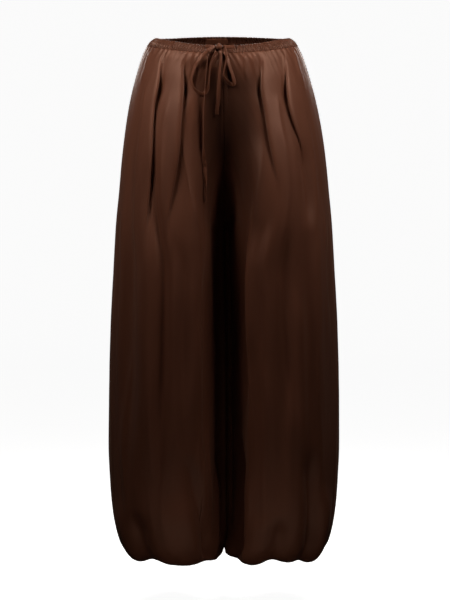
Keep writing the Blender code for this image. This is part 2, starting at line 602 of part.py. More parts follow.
def cloth_front(cloud, x, z, near=4.0):
    """The most forward cloth close to a point seen from the front."""
    close = np.hypot(cloud[:, 0] - x, cloud[:, 2] - z) < near
    while not close.any():
        near *= 1.5
        close = np.hypot(cloud[:, 0] - x, cloud[:, 2] - z) < near
    return cloud[close, 1].min()


def tie_frames(points, turns):
    """Width and thickness directions along a strip."""
    tangent = np.gradient(points, axis=0)
    tangent /= np.linalg.norm(tangent, axis=1, keepdims=True)
    flat = np.cross(tangent, (0.0, 1.0, 0.0))
    flat /= np.linalg.norm(flat, axis=1, keepdims=True)
    deep = np.cross(tangent, flat)
    c, s = np.cos(np.radians(turns))[:, None], np.sin(np.radians(turns))[:, None]
    return flat * c + deep * s, deep * c - flat * s


def tie_line(rows, cloud, stations):
    """A strip's middle line and turns, from its table, hung clear of the cloth."""
    table = np.array(rows, float)
    between = np.linspace(0, len(table) - 1, TIE_STEPS * (len(table) - 1) + 1)
    x, z, out, turn = (smooth(np.arange(len(table)), table[:, k], between) for k in range(4))
    y = np.array([cloth_front(cloud, *at) for at in zip(x, z)]) - out
    points = np.column_stack([x, y, z])
    along = np.concatenate([[0], np.cumsum(np.linalg.norm(np.diff(points, axis=0), axis=1))])
    at = np.linspace(0, along[-1], stations)
    line = np.column_stack([smooth(along, points[:, k], at) for k in range(3)])
    return line, smooth(along, turn, at)


def make_tie(name, rows, cloud, stations, material):
    line, turns = tie_line(rows, cloud, stations)
    width, thick = tie_frames(line, turns)
    corners = [(1, 1), (-1, 1), (-1, -1), (1, -1)]
    grid = np.array([line + width * (TIE_WIDTH / 2 * a) + thick * (TIE_THICK / 2 * b) for a, b in corners])
    verts = grid.transpose(1, 0, 2).reshape(-1, 3) * MM
    faces = []
    for r in range(stations - 1):
        for k in range(4):
            m = (k + 1) % 4
            a, b, d, e = 4 * r + k, 4 * r + m, 4 * r + 4 + m, 4 * r + 4 + k
            faces += [(a, b, d), (a, d, e)] if k < 2 else [(a, b, e), (b, d, e)]
    faces += [(3, 2, 1, 0), tuple(4 * (stations - 1) + k for k in range(4))]
    return solid(name, verts, faces, material)


def make_knot(material):
    """The knot as a small block with rounded corners."""
    hx, hy, hz = KNOT["half"]
    rings, around = 8, 14
    power = KNOT["corner"]
    verts, faces = [], []
    for r in range(rings):
        t = np.pi * (r + 0.5) / rings
        end = np.cos(np.pi * 0.5 / rings) ** power
        x = np.sign(np.cos(t)) * abs(np.cos(t)) ** power / end
        for k in range(around):
            a = 2 * np.pi * k / around
            y = np.sign(np.cos(a)) * abs(np.cos(a)) ** power
            z = np.sign(np.sin(a)) * abs(np.sin(a)) ** power
            wide = np.sin(t) ** power
            verts.append((KNOT["x"] - hx * x, KNOT["y"] + hy * wide * y, KNOT["z"] + hz * wide * z))
    for r in range(rings - 1):
        for k in range(around):
            m = (k + 1) % around
            faces.append((r * around + k, r * around + m, (r + 1) * around + m, (r + 1) * around + k))
    faces += [tuple(range(around - 1, -1, -1)), tuple((rings - 1) * around + k for k in range(around))]
    return solid("tie_knot", np.array(verts) * MM, faces, material)


def make_label(material):
    """A bare woven patch on the inside of the back of the waistband."""
    count = 9
    xs = np.linspace(LABEL["x"] - LABEL["half_width"], LABEL["x"] + LABEL["half_width"], count)
    phi = np.arccos(np.clip((xs - WAIST_SHIFT) / section(0.0)["outer"], -1, 1))
    top, bottom = band_profile(phi)
    down = (bottom - top) / np.linalg.norm(bottom - top, axis=1, keepdims=True)
    face = np.cross(np.gradient(top, axis=0), down)
    face /= np.linalg.norm(face, axis=1, keepdims=True)
    face *= np.sign(face[:, 1])[:, None]
    start = (np.linalg.norm(bottom - top, axis=1) - LABEL["height"]) / 2
    rows = []
    for u in (0.0, 1.0):
        rows.append(top + down * (start + LABEL["height"] * u)[:, None])
    rows = np.array(rows)
    near = rows - face * (BAND_WALL + SEAM_GAP)
    far = near - face * LABEL["thick"]
    return shell("label", placed(near, 1), placed(far, 1), material)


def build():
    for old in list(bpy.data.objects):
        bpy.data.objects.remove(old, do_unlink=True)
    satin = {
        name: cloth_material(name + "_satin", colour, 0.42)
        for name, colour in (
            ("front_left", (0.085, 0.040, 0.026)),
            ("front_right", (0.085, 0.040, 0.026)),
            ("back_left", (0.075, 0.035, 0.023)),
            ("back_right", (0.075, 0.035, 0.023)),
            ("waistband", (0.095, 0.045, 0.030)),
            ("hem_band", (0.070, 0.033, 0.022)),
            ("tie", (0.105, 0.050, 0.034)),
            ("label", (0.100, 0.047, 0.032)),
        )
    }
    make_panel("front_left", SIDE_LEFT, False, satin["front_left"])
    make_panel("front_right", SIDE_RIGHT, False, satin["front_right"])
    make_panel("back_left", SIDE_LEFT, True, satin["back_left"])
    make_panel("back_right", SIDE_RIGHT, True, satin["back_right"])
    make_waistband(satin["waistband"])
    make_cuff("hem_band_left", SIDE_LEFT, satin["hem_band"])
    make_cuff("hem_band_right", SIDE_RIGHT, satin["hem_band"])
    make_label(satin["label"])
    make_knot(satin["tie"])
    cloud = front_surface()
    for name, (stations, rows) in TIES.items():
        make_tie(name, rows, cloud, stations, satin["tie"])


build()
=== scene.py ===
"""Loose balloon trousers in brown satin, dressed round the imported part.

Front is -Y and up is +Z. Tables are in millimetres and hold one leg, on the +X side; the other is its mirror
with folds of its own.
"""

import math

import bmesh
import bpy
import numpy as np
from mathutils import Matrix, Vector


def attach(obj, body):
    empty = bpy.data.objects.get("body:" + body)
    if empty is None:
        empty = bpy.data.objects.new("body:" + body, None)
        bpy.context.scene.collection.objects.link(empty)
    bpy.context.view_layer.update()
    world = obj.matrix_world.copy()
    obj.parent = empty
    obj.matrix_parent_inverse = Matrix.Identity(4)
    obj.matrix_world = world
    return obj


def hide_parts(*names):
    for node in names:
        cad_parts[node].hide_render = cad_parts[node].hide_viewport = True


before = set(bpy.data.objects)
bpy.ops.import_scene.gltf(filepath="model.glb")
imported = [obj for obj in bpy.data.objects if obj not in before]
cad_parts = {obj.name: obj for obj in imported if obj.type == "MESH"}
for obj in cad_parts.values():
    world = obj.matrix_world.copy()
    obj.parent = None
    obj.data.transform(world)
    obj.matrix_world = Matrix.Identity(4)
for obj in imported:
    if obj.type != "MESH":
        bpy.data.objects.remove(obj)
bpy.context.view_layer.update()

bl_info = {
    "name": "Satin balloon trousers",
    "version": (1, 0, 0),
    "blender": (4, 5, 0),
    "location": "View3D > Sidebar > Trousers",
    "description": "Makes the cloth, ties and stitching of balloon trousers, and the studio round them",
    "category": "Object",
}

MM = 0.001
SEAM_GAP = 0.1
SIDE_LEFT, SIDE_RIGHT = 1.0, -1.0

# Cloth sections: one leg as an oval between inner and outer, front and back of the leg's middle.
# Above the crotch inner is negative and the panels stop at the middle plane.
# full squares the inner front quarter (2 is an oval), and valley rounds the groove at the middle seam.
# Between narrow and wide from the middle, the front falls back to the share floor, which makes the trough
# between the legs.
SECTION_NAMES = (
    "drop", "height", "inner", "outer", "front", "back", "full", "valley", "floor", "narrow", "wide",
)
SECTIONS = (
    (0, -9, -147, 147, 106, 104, 2.0, 0, 1.00, 0, 70),
    (21, -28, -150, 156, 111, 107, 2.0, 3, 1.00, 0, 72),
    (52, -58, -136, 166, 117, 115, 2.0, 8, 0.95, 0, 76),
    (104, -110, -110, 180, 124, 127, 2.05, 13, 0.85, 0, 82),
    (164, -170, -80, 191, 129, 137, 2.15, 11, 0.70, 0, 84),
    (224, -230, -48, 199, 132, 141, 2.3, 8, 0.50, 2, 76),
    (284, -290, -20, 205, 134, 140, 2.5, 5, 0.32, 4, 64),
    (334, -340, -4, 210, 136, 137, 2.6, 2, 0.20, 6, 54),
    (359, -365, 1, 212, 137, 136, 2.6, 0, 0.17, 7, 50),
    (444, -450, 1, 217, 140, 134, 2.6, 0, 0.12, 8, 46),
    (554, -560, 1, 223, 143, 132, 2.6, 0, 0.10, 8, 44),
    (674, -680, 1, 226, 146, 134, 2.6, 0, 0.10, 8, 42),
    (774, -780, 1, 227, 148, 138, 2.6, 0, 0.10, 8, 42),
    (854, -860, 1, 224, 148, 140, 2.6, 0, 0.10, 8, 42),
    (914, -920, 1, 219, 146, 139, 2.5, 0, 0.12, 8, 42),
    (966, -972, 1.2, 208, 138, 131, 2.4, 0, 0.35, 7, 42),
    (985, -991, 1.2, 198, 131, 124, 2.3, 0, 0.60, 6, 42),
    (1000, -1003, 2.5, 187, 119, 112, 2.3, 0, 0.80, 6, 42),
    (1014, -1008, 12, 176, 102, 96, 2.1, 0, 0.95, 6, 42),
    (1028, -1006, 30, 168, 83, 79, 2.0, 0, 1.00, 6, 42),
    (1042, -997, 48, 165, 65, 63, 2.0, 0, 1.00, 6, 42),
    (1056, -985, 60, 164, 53, 53, 2.0, 0, 1.00, 6, 42),
)
CUFF_DROP, CROTCH_DROP = 1056.0, 359.0

# Drops between which shares of the way round are measured, passing over the fork's sudden extra width.
GIRTH_DROPS = (0, 52, 104, 164, 224, 284, 444, 674, 914, 985, 1014, 1042, 1056)

# The inner sides of the legs press into each other in a shallow S, so no light shows between them, and the
# trough between them leans to the wearer's left on its way down. Depths are start, full, full, end.
PRESS_DEPTH, PRESS_LENGTH, PRESS_REACH, PRESS_DEEP = 6.0, 60.0, 70.0, 75.0
PRESS_SPAN = (345.0, 366.0, 985.0, 1006.0)
LEAN, LEAN_REACH, LEAN_SPAN = 8.0, 90.0, (200.0, 700.0, 960.0, 1004.0)

# Below the fork each leg stands this far from the middle plane.
FORK_DROP, FORK_CLEAR = CROTCH_DROP + 4.0, 0.4

# The waist dips in front, rises behind and sits a little to the wearer's right.
WAIST_DIP, WAIST_RISE, WAIST_SHIFT = 17.5, 9.0, -3.0
WAIST_FADE, SHIFT_FADE = (0.0, 230.0), (0.0, 300.0)

# Waistband: top edge as an ellipse, and how far it dips and rises.
BAND_TOP = {"height": 7.0, "side": 128.0, "front": 92.0, "back": 90.0, "dip": 18.5, "rise": 9.0}
BAND_GATHERS = 128
BAND_GATHER_DEPTH = 1.4
BAND_FLAT = (-32.0, 20.0)
BAND_ROWS, BAND_COLUMNS = 22, 8
BAND_THICK, BAND_ROUND, BAND_PUFF = 2.0, 0.14, 2.3

# The waistband's row of stitches: its place down the band, and each stitch's pitch, length and width.
STITCH_ROW, STITCH_PITCH, STITCH_LENGTH, STITCH_WIDE = 0.84, 2.9, 2.1, 0.42
STITCH_ALONG, STITCH_UP, STITCH_SIZE = (0.0, 0.22, 0.78, 1.0), (-0.2, 0.22, 0.22, -0.2), (0.5, 1.0, 1.0, 0.5)
STITCH_ROUND = 6

# Hem bands: the cloth's inner end runs up into a ring that holds the ankle opening.
CUFF_WIDTH = 20.0
CUFF_CENTRE, CUFF_RADIUS_TOP = 112.0, 50.0
CUFF_WALL, CUFF_ROWS, CUFF_COLUMNS, CUFF_GATHERS = 1.6, 12, 440, 54
CUFF_RIPPLE = 0.75

# Knife pleats on each front: how far from the middle the fold edge runs at these drops. The outer layer
# laps over the inner one, which steps back by most of the height.
PLEAT_DROPS = (0, 60, 120, 200, 300, 420, 620, 850, 1056)
PLEAT_NAMES = ("side", "from_middle", "height", "lap", "opens", "ends", "inner_fade")
PLEATS = (
    (SIDE_RIGHT, (112, 122.5, 134.5, 139, 146.5, 148, 164, 175, 145), 10.5, 3.5, 55, 400, 58),
    (SIDE_RIGHT, (72, 77.5, 82, 88, 102, 112, 104, 90, 85), 12.0, 4.0, 50, 390, 60),
    (SIDE_LEFT, (116, 123.5, 130, 150, 165, 168, 171, 176, 145), 11.0, 3.5, 60, 270, 58),
    (SIDE_LEFT, (74, 75.5, 82.5, 91.5, 104, 112, 106, 92, 85), 12.0, 4.0, 55, 310, 60),
)
PLEAT_REACH, PLEAT_CURL = 7.0, 0.17
PLEAT_OUTER_FADE, PLEAT_LIFT = 40.0, 0.15

# How far above and below its mark a pleat opens, how long it takes to end, and how it starts at the waist.
PLEAT_OPENING, PLEAT_ENDING = (45.0, 35.0), 150.0
PLEAT_START, PLEAT_START_DROP = 0.25, 40.0

# The pit at each pleat's mouth: depth, place below the opening, length, place beside the edge and width.
PLEAT_PIT = {"depth": 3.5, "below": 30.0, "length": 24.0, "beside": 5.5, "width": 4.0}

# Soft folds: ridges (+) and troughs (-) of the cloth. A taper is start, full, full, end along the fold.
FOLD_TAPER, CREASE_TAPER = (0.0, 0.3, 0.7, 1.0), (0.0, 0.2, 0.55, 1.0)
FOLD_NAMES = ("panel", "top", "bottom", "around_top", "around_bottom", "width", "height")
FRONT_R, FRONT_L = (SIDE_RIGHT, False), (SIDE_LEFT, False)
BACK_R, BACK_L = (SIDE_RIGHT, True), (SIDE_LEFT, True)
FOLDS = (
    (FRONT_R, 300, 860, 0.395, 0.417, 14, 9),
    (FRONT_R, 330, 900, 0.530, 0.542, 12, 9),
    (FRONT_R, 380, 800, 0.620, 0.630, 12, 6),
    (FRONT_R, 120, 860, 0.270, 0.310, 14, -9),
    (FRONT_R, 170, 840, 0.490, 0.480, 9, -12),
    (FRONT_R, 340, 720, 0.570, 0.578, 9, -7.5),
    (FRONT_R, 380, 860, 0.740, 0.700, 20, -12),
    (FRONT_R, 780, 1030, 0.610, 0.730, 13, -15),
    (FRONT_R, 800, 1030, 0.900, 0.800, 14, 10),
    (FRONT_R, 890, 1045, 0.340, 0.330, 16, -11),
    (FRONT_R, 870, 1045, 0.220, 0.220, 20, 5),
    (FRONT_R, 860, 1045, 0.550, 0.550, 26, 6),
    (FRONT_L, 250, 860, 0.605, 0.565, 14, 9),
    (FRONT_L, 350, 620, 0.655, 0.660, 12, 6),
    (FRONT_L, 420, 830, 0.417, 0.422, 16, 7.5),
    (FRONT_L, 250, 860, 0.296, 0.325, 14, 7.5),
    (FRONT_L, 220, 760, 0.850, 0.750, 16, -12),
    (FRONT_L, 300, 640, 0.640, 0.605, 8, -6),
    (FRONT_L, 330, 740, 0.495, 0.470, 10, -9),
    (FRONT_L, 180, 360, 0.415, 0.370, 10, -7.5),
    (FRONT_L, 300, 800, 0.360, 0.371, 11, -6),
    (FRONT_L, 740, 1035, 0.880, 0.800, 20, -17.5),
    (FRONT_L, 800, 1035, 0.745, 0.690, 14, 5),
    (FRONT_L, 760, 1045, 0.385, 0.290, 12, -15),
    (FRONT_L, 840, 1045, 0.255, 0.220, 14, 9),
    (FRONT_L, 900, 1045, 0.510, 0.510, 14, -10),
    (FRONT_L, 890, 1045, 0.610, 0.640, 20, 5),
    (BACK_R, 30, 560, 0.160, 0.200, 13, 5),
    (BACK_R, 60, 800, 0.290, 0.300, 12, -6),
    (BACK_R, 24, 620, 0.430, 0.400, 14, 6),
    (BACK_R, 110, 840, 0.520, 0.500, 11, -6),
    (BACK_R, 60, 700, 0.640, 0.600, 15, 6),
    (BACK_R, 260, 900, 0.740, 0.700, 12, -7),
    (BACK_R, 620, 1040, 0.200, 0.240, 15, -8),
    (BACK_R, 700, 1045, 0.380, 0.360, 18, 7),
    (BACK_R, 760, 1040, 0.520, 0.500, 13, -9),
    (BACK_R, 800, 1045, 0.660, 0.640, 17, 6),
    (BACK_R, 780, 1035, 0.800, 0.780, 13, -8),
    (BACK_L, 24, 640, 0.140, 0.180, 14, 5),
    (BACK_L, 90, 760, 0.260, 0.250, 11, -5),
    (BACK_L, 40, 700, 0.360, 0.380, 13, 6),
    (BACK_L, 120, 860, 0.470, 0.480, 12, -7),
    (BACK_L, 30, 560, 0.590, 0.570, 14, 5),
    (BACK_L, 200, 880, 0.690, 0.680, 12, -6),
    (BACK_L, 600, 1045, 0.310, 0.290, 17, 7),
    (BACK_L, 720, 1040, 0.180, 0.180, 14, -7),
    (BACK_L, 740, 1040, 0.430, 0.420, 13, -9),
    (BACK_L, 790, 1045, 0.570, 0.590, 18, 7),
    (BACK_L, 760, 1035, 0.750, 0.740, 14, -9),
)

# Creases: finer folds with their own width on either side, wandering a little on the way down.
CREASE_NAMES = (
    "panel", "top", "bottom", "around_top", "around_bottom", "before", "after", "height", "wander",
)
CREASES = (
    (FRONT_R, 4, 70, 0.80, 0.79, 2.5, 4.0, 1.9, 0.5),
    (FRONT_R, 2, 60, 0.715, 0.70, 2.0, 3.5, 1.7, 0.5),
    (FRONT_R, 4, 90, 0.22, 0.24, 3.0, 5.0, 1.6, 1.0),
    (FRONT_R, 60, 260, 0.34, 0.36, 4.0, 7.0, 1.6, 2.0),
    (FRONT_R, 90, 330, 0.56, 0.53, 5.0, 3.5, 1.4, 2.0),
    (FRONT_R, 180, 520, 0.47, 0.455, 3.0, 5.0, 2.0, 3.0),
    (FRONT_R, 240, 700, 0.34, 0.355, 5.0, 8.0, 2.3, 4.0),
    (FRONT_R, 300, 760, 0.20, 0.23, 6.0, 9.0, 2.6, 4.0),
    (FRONT_R, 420, 900, 0.445, 0.45, 4.0, 6.5, 2.5, 4.0),
    (FRONT_R, 500, 960, 0.66, 0.67, 5.0, 4.0, 2.3, 4.0),
    (FRONT_R, 560, 980, 0.29, 0.27, 7.0, 5.0, 2.6, 5.0),
    (FRONT_R, 620, 1000, 0.50, 0.49, 4.0, 6.0, 2.2, 4.0),
    (FRONT_R, 640, 1010, 0.13, 0.15, 6.0, 8.0, 2.6, 5.0),
    (FRONT_R, 700, 1020, 0.78, 0.74, 5.0, 7.0, 2.6, 4.0),
    (FRONT_L, 2, 64, 0.80, 0.80, 3.0, 2.0, 1.9, 0.5),
    (FRONT_L, 4, 60, 0.71, 0.715, 2.0, 3.5, 1.6, 0.5),
    (FRONT_L, 4, 100, 0.24, 0.26, 3.0, 4.5, 1.6, 1.0),
    (FRONT_L, 80, 300, 0.56, 0.55, 4.0, 6.0, 1.4, 2.0),
    (FRONT_L, 120, 420, 0.31, 0.33, 5.0, 7.0, 1.7, 3.0),
    (FRONT_L, 220, 620, 0.53, 0.52, 3.5, 5.5, 2.0, 3.0),
    (FRONT_L, 300, 720, 0.22, 0.24, 6.0, 8.0, 2.5, 4.0),
    (FRONT_L, 380, 820, 0.70, 0.66, 5.0, 4.0, 2.2, 4.0),
    (FRONT_L, 460, 900, 0.47, 0.475, 5.0, 3.5, 2.3, 4.0),
    (FRONT_L, 520, 960, 0.33, 0.31, 4.5, 7.0, 2.5, 4.0),
    (FRONT_L, 600, 1000, 0.60, 0.60, 6.0, 4.0, 2.3, 4.0),
    (FRONT_L, 620, 1010, 0.14, 0.15, 7.0, 6.0, 2.6, 5.0),
    (FRONT_L, 720, 1020, 0.82, 0.76, 5.0, 7.0, 2.5, 4.0),
    (BACK_R, 6, 200, 0.10, 0.12, 3.0, 5.0, 1.9, 1.5),
    (BACK_R, 10, 300, 0.24, 0.25, 5.0, 3.5, 2.0, 2.0),
    (BACK_R, 4, 260, 0.36, 0.35, 3.5, 5.5, 2.0, 2.0),
    (BACK_R, 12, 340, 0.50, 0.47, 5.0, 4.0, 2.2, 2.0),
    (BACK_R, 4, 240, 0.58, 0.56, 3.5, 5.0, 1.9, 2.0),
    (BACK_R, 8, 300, 0.71, 0.66, 4.0, 6.0, 2.0, 2.0),
    (BACK_R, 6, 200, 0.84, 0.80, 3.0, 5.0, 1.7, 1.5),
    (BACK_R, 300, 760, 0.34, 0.34, 5.0, 7.0, 2.6, 4.0),
    (BACK_R, 380, 860, 0.56, 0.55, 6.0, 4.5, 2.6, 4.0),
    (BACK_R, 460, 940, 0.15, 0.17, 6.0, 8.0, 2.8, 5.0),
    (BACK_R, 520, 980, 0.70, 0.68, 5.0, 6.5, 2.6, 4.0),
    (BACK_R, 600, 1010, 0.45, 0.44, 4.5, 6.0, 2.5, 4.0),
    (BACK_R, 640, 1010, 0.28, 0.30, 6.0, 4.5, 2.5, 4.0),
    (BACK_L, 6, 220, 0.09, 0.10, 3.5, 5.0, 1.9, 1.5),
    (BACK_L, 10, 280, 0.21, 0.22, 4.5, 3.5, 2.0, 2.0),
    (BACK_L, 4, 300, 0.42, 0.43, 3.5, 5.5, 2.2, 2.0),
    (BACK_L, 10, 260, 0.53, 0.52, 5.0, 4.0, 1.9, 2.0),
    (BACK_L, 6, 320, 0.65, 0.62, 3.5, 5.5, 2.2, 2.0),
    (BACK_L, 8, 220, 0.78, 0.75, 4.0, 5.0, 1.7, 1.5),
    (BACK_L, 280, 740, 0.30, 0.31, 5.0, 7.5, 2.6, 4.0),
    (BACK_L, 360, 840, 0.60, 0.60, 6.0, 4.5, 2.6, 4.0),
    (BACK_L, 480, 940, 0.22, 0.23, 7.0, 5.0, 2.6, 5.0),
    (BACK_L, 540, 980, 0.50, 0.49, 4.5, 6.5, 2.6, 4.0),
    (BACK_L, 620, 1010, 0.66, 0.66, 5.0, 6.0, 2.5, 4.0),
    (BACK_L, 640, 1010, 0.37, 0.38, 6.0, 4.5, 2.5, 4.0),
)

# How fine the cloth is made: columns of the plain form, columns between and across the pleats, columns of a
# back, and rows by drop. The zone across a pleat widens to a share of the panel low on the leg.
BASE_COLUMNS = 721
PLEAT_ZONE, PLEAT_ZONE_LOW, PLEAT_ZONE_DROPS = 1.15, 0.08, (380.0, 760.0)
FRONT_COLUMNS = (46, 26, 40, 26, 74)
BACK_COLUMNS = 150
ROW_ENDS = (0.2, 50.0, 300.0, 900.0, 1055.8)
ROW_COUNTS = (26, 62, 96, 34)

# Gathers: how far they stand out at the waist and hem, how soon they fade, and how many a panel has.
WAIST_GATHER, WAIST_GATHER_FADE, WAIST_GATHER_PITCH = 0.6, 20.0, 12.0
WAIST_HUMP, HUMP_RISE, HUMP_FALL = 0.9, 7.0, 26.0
HEM_GATHER, HEM_GATHERS, HEM_GATHER_DROPS, HEM_FADE_DROP = 0.6, 11, (992.0, 1036.0), 1046.0

# The dip along every seam, how far from seams and ends the folds and gathers die away, and the allowances
# pressed flat behind the fronts' seams.
SEAM_DIP, SEAM_DIP_WIDTH, SEAM_DIP_DROPS = 0.9, 2.2, (2.0, 14.0)
SEAM_STILL, GATHER_STILL, END_STILL = 14.0, 5.0, (12.0, 14.0)
ALLOWANCE, ALLOWANCE_DROPS, ALLOWANCE_THICK, ALLOWANCE_CURL = 9.0, (3.0, 985.0), 0.35, 0.25
ALLOWANCE_COLUMNS, ALLOWANCE_CLEAR, LEG_MIDDLE = 7, 0.6, 105.0

# The small unevenness of loose cloth, broad to fine: width and length of its grains, and how high.
SLACK = ((46.0, 170.0, 1.1), (19.0, 95.0, 0.55), (9.0, 55.0, 0.16))

# Ties: flat strips. x and z are as seen from the front, out is how far the strip's middle stands off
# the cloth, and turn is 0 with its face to the front and 90 with its edge to the front.
TIE_WIDTH, TIE_THICK = 7.0, 1.2
TIE_STEPS = 3
KNOT = {"x": -9.7, "y": -107.8, "z": -15.2, "half": (6.6, 5.6, 5.6), "corner": 0.55}
TIES = {
    "tie_lead_right": (5, ((-16.7, -15.2, 2.0, 0), (-26.0, -14.6, 1.4, 0), (-35.0, -13.9, 1.2, 0))),
    "tie_lead_left": (5, ((-2.9, -15.2, 2.0, 0), (9.0, -15.2, 1.4, 0), (20.0, -14.6, 1.2, 0))),
    "tie_loop_right": (34, (
        (-17.9, -15.0, 8.2, 15), (-21.0, -15.8, 8.4, 10), (-24.0, -17.5, 10.5, 5), (-30.0, -22.5, 11.0, 0),
        (-36.5, -28.0, 10.0, 10), (-45.0, -37.0, 7.5, 25), (-52.1, -46.4, 5.5, 35), (-59.3, -64.4, 4.8, 55),
        (-62.2, -78.8, 4.8, 60), (-58.6, -91.8, 4.4, 50), (-50.5, -100.5, 3.0, 30), (-42.0, -104.5, 2.0, 8),
        (-35.0, -102.0, 1.6, 4), (-30.5, -93.0, 2.4, 30), (-29.0, -82.0, 4.0, 60), (-27.4, -65.0, 4.4, 65),
        (-24.4, -45.0, 4.4, 65), (-19.0, -32.0, 4.5, 62), (-16.0, -26.6, 3.9, 50), (-14.4, -23.6, 3.4, 38))),
    "tie_tail_long": (40, (
        (-16.9, -17.2, 3.6, 0), (-20.5, -18.3, 3.8, 0), (-24.5, -20.4, 4.4, 10), (-29.5, -26.0, 4.6, 50),
        (-31.3, -40.0, 4.6, 88), (-32.8, -54.0, 4.6, 90), (-35.2, -80.0, 5.5, 90), (-36.8, -100.0, 7.6, 90),
        (-37.6, -113.0, 6.6, 90), (-39.0, -148.5, 4.6, 90), (-39.0, -195.0, 4.6, 85),
        (-38.6, -217.0, 4.0, 45), (-37.0, -236.0, 3.6, 5), (-35.6, -262.0, 3.8, 5),
        (-35.3, -277.0, 4.0, 60), (-34.4, -309.0, 4.6, 85))),
    "tie_loop_left": (32, (
        (-2.0, -15.2, 8.6, 40), (1.0, -16.8, 8.6, 45), (3.4, -23.0, 9.0, 45), (4.6, -30.0, 9.4, 50),
        (5.2, -36.0, 9.0, 60), (3.5, -46.0, 8.0, 65), (1.2, -56.0, 6.5, 68), (-0.8, -64.0, 5.2, 66),
        (-1.2, -70.0, 4.8, 60), (2.4, -76.0, 4.4, 50), (7.0, -81.5, 4.0, 40), (12.5, -86.0, 3.0, 20),
        (17.5, -87.0, 2.4, 5), (19.6, -82.0, 2.4, 10), (17.0, -71.0, 2.6, 25), (13.2, -60.0, 2.6, 30),
        (9.8, -50.0, 2.6, 30), (7.2, -40.0, 2.6, 30), (4.2, -31.0, 2.6, 30), (0.8, -24.5, 2.6, 30))),
    "tie_tail_short": (18, (
        (-7.2, -21.6, 1.8, 10), (-6.2, -28.0, 3.6, 40), (-5.2, -36.0, 4.4, 62), (-6.8, -50.0, 4.6, 60),
        (-7.8, -62.0, 4.4, 55), (-8.6, -71.5, 4.2, 45), (-10.0, -98.0, 3.0, 15), (-10.9, -116.0, 2.4, 5),
        (-13.0, -133.7, 2.2, 5), (-13.7, -143.2, 2.2, 0))),
}

# The knot's soft core and the turn of the tie that goes round it.
CORE_RINGS, CORE_ROUND, CORE_SOFT = 28, 44, 0.72
TURN_RINGS, TURN_ROUND, TURN_SOFT, TURN_LEAN = 64, 14, 0.7, 14.0
TURN_HALF, TURN_THICK, TURN_CROWN, TURN_PINCH = 2.9, 0.6, 0.35, 0.18

# The buttonholes that the drawstring's leads come out of: places across the front, height and width.
BUTTONHOLES = (-36.0, 20.6)
BUTTONHOLE_HIGH, BUTTONHOLE_WIDE = 8.6, 2.0
BUTTONHOLE_TURN, BUTTONHOLE_BEAD, BUTTONHOLE_STITCHES = 36, 8, 18
BUTTONHOLE_ROWS = (6, 10, 14)

# The bare label inside the back of the waistband, and how far it stands in from the casing's face.
LABEL = {"x": -15.0, "half_width": 24.0, "height": 14.0, "thick": 0.8}
LABEL_INSET, LABEL_GAP = 2.2, 0.3

# The panels by node.
PANELS = (
    ("front_left", SIDE_LEFT, False),
    ("front_right", SIDE_RIGHT, False),
    ("back_left", SIDE_LEFT, True),
    ("back_right", SIDE_RIGHT, True),
)

# Camera, as the photograph was taken: lens and sensor in millimetres, place in metres, tilt in degrees.
CAMERA_LENS, CAMERA_SENSOR = 128.58, 36.0
CAMERA_PLACE, CAMERA_PITCH = (0.002, -4.2, -0.247), 3.5

# The satin: sizes of its broad patches, weave and streaks in metres, the shares of its colour at its deepest,
# at its lightest and where shade is painted into the recess between the legs, and the relief of slubs and
# weave.
PATCH_SIZE, WEAVE_SIZE, LEG_STREAK = (0.05, 0.05, 0.22), (0.0007, 0.0007, 0.0011), (0.012, 0.012, 0.09)
BAND_STREAK, TIE_STREAK, LABEL_STREAK = (0.004, 0.004, 0.012), (0.006, 0.006, 0.02), (0.001, 0.004, 0.001)
DEEP_SHARE, LIGHT_SHARE, PAINTED_SHADE_SHARE = 0.66, 1.36, 0.2
RELIEF, RELIEF_DEPTH = 0.35, 0.0004
GLOSS_VARIATION, SHEEN_ROUGHNESS = 0.12, 0.45

# Painted shade: where the satin between the pleats is darkened in colour for the shade in that recess,
# in metres: start, full, full, end.
PAINTED_SHADE_WINDOW = {
    "X": (-0.064, -0.024, 0.034, 0.098),
    "Y": (-0.300, -0.250, -0.075, -0.045),
    "Z": (-0.420, -0.260, -0.095, -0.040),
}
# How strongly the painted shade darkens the satin's colour there.
PAINTED_SHADE_STRENGTH = 0.74

# The pale sweep: a flat round floor that curves up to a wall behind every view, in metres.
SWEEP_FLAT, SWEEP_CURVE, SWEEP_HEIGHT = 5.2, 1.2, 9.0
SWEEP_RINGS, SWEEP_BEND, SWEEP_ROUND = 11, 24, 96

# Lights: name, place, aim, size, which of the stage's powers feeds it and by what share, and colour.
WARM, WHITE, AMBER, BOUNCED = (1.0, 0.96, 0.92), (1.0, 1.0, 1.0), (1.0, 0.86, 0.78), (1.0, 0.93, 0.86)
LIGHTS = (
    ("key_light_left", (-0.50, -0.41, 0.35), (0.0, -0.1, -0.14), (0.3, 0.3), "key_power", 0.96, WARM),
    ("key_light_right", (0.47, -0.41, 0.35), (0.0, -0.1, -0.14), (0.3, 0.3), "key_power", 0.94, WARM),
    ("fill_light", (0.0, -2.2, -0.95), (0.0, 0.0, -0.95), (1.6, 0.5), "fill_power", 1.0, WHITE),
    ("edge_light_left", (-1.2, 0.25, -0.15), (0.0, 0.0, -0.3), (0.8, 1.4), "edge_power", 1.0, AMBER),
    ("edge_light_right", (1.2, 0.25, -0.15), (0.0, 0.0, -0.3), (0.8, 1.4), "edge_power", 1.0, AMBER),
    ("back_light_left", (-0.45, 0.95, 0.3), (0.0, 0.1, -0.5), (0.5, 0.5), "back_power", 1.0, WARM),
    ("back_light_right", (0.45, 0.95, 0.3), (0.0, 0.1, -0.5), (0.5, 0.5), "back_power", 1.0, WARM),
)
FLOOR_LIGHT = {"y": -0.42, "above": 0.02, "aim": (0.0, -0.08, -1.0), "size": (0.9, 0.2)}


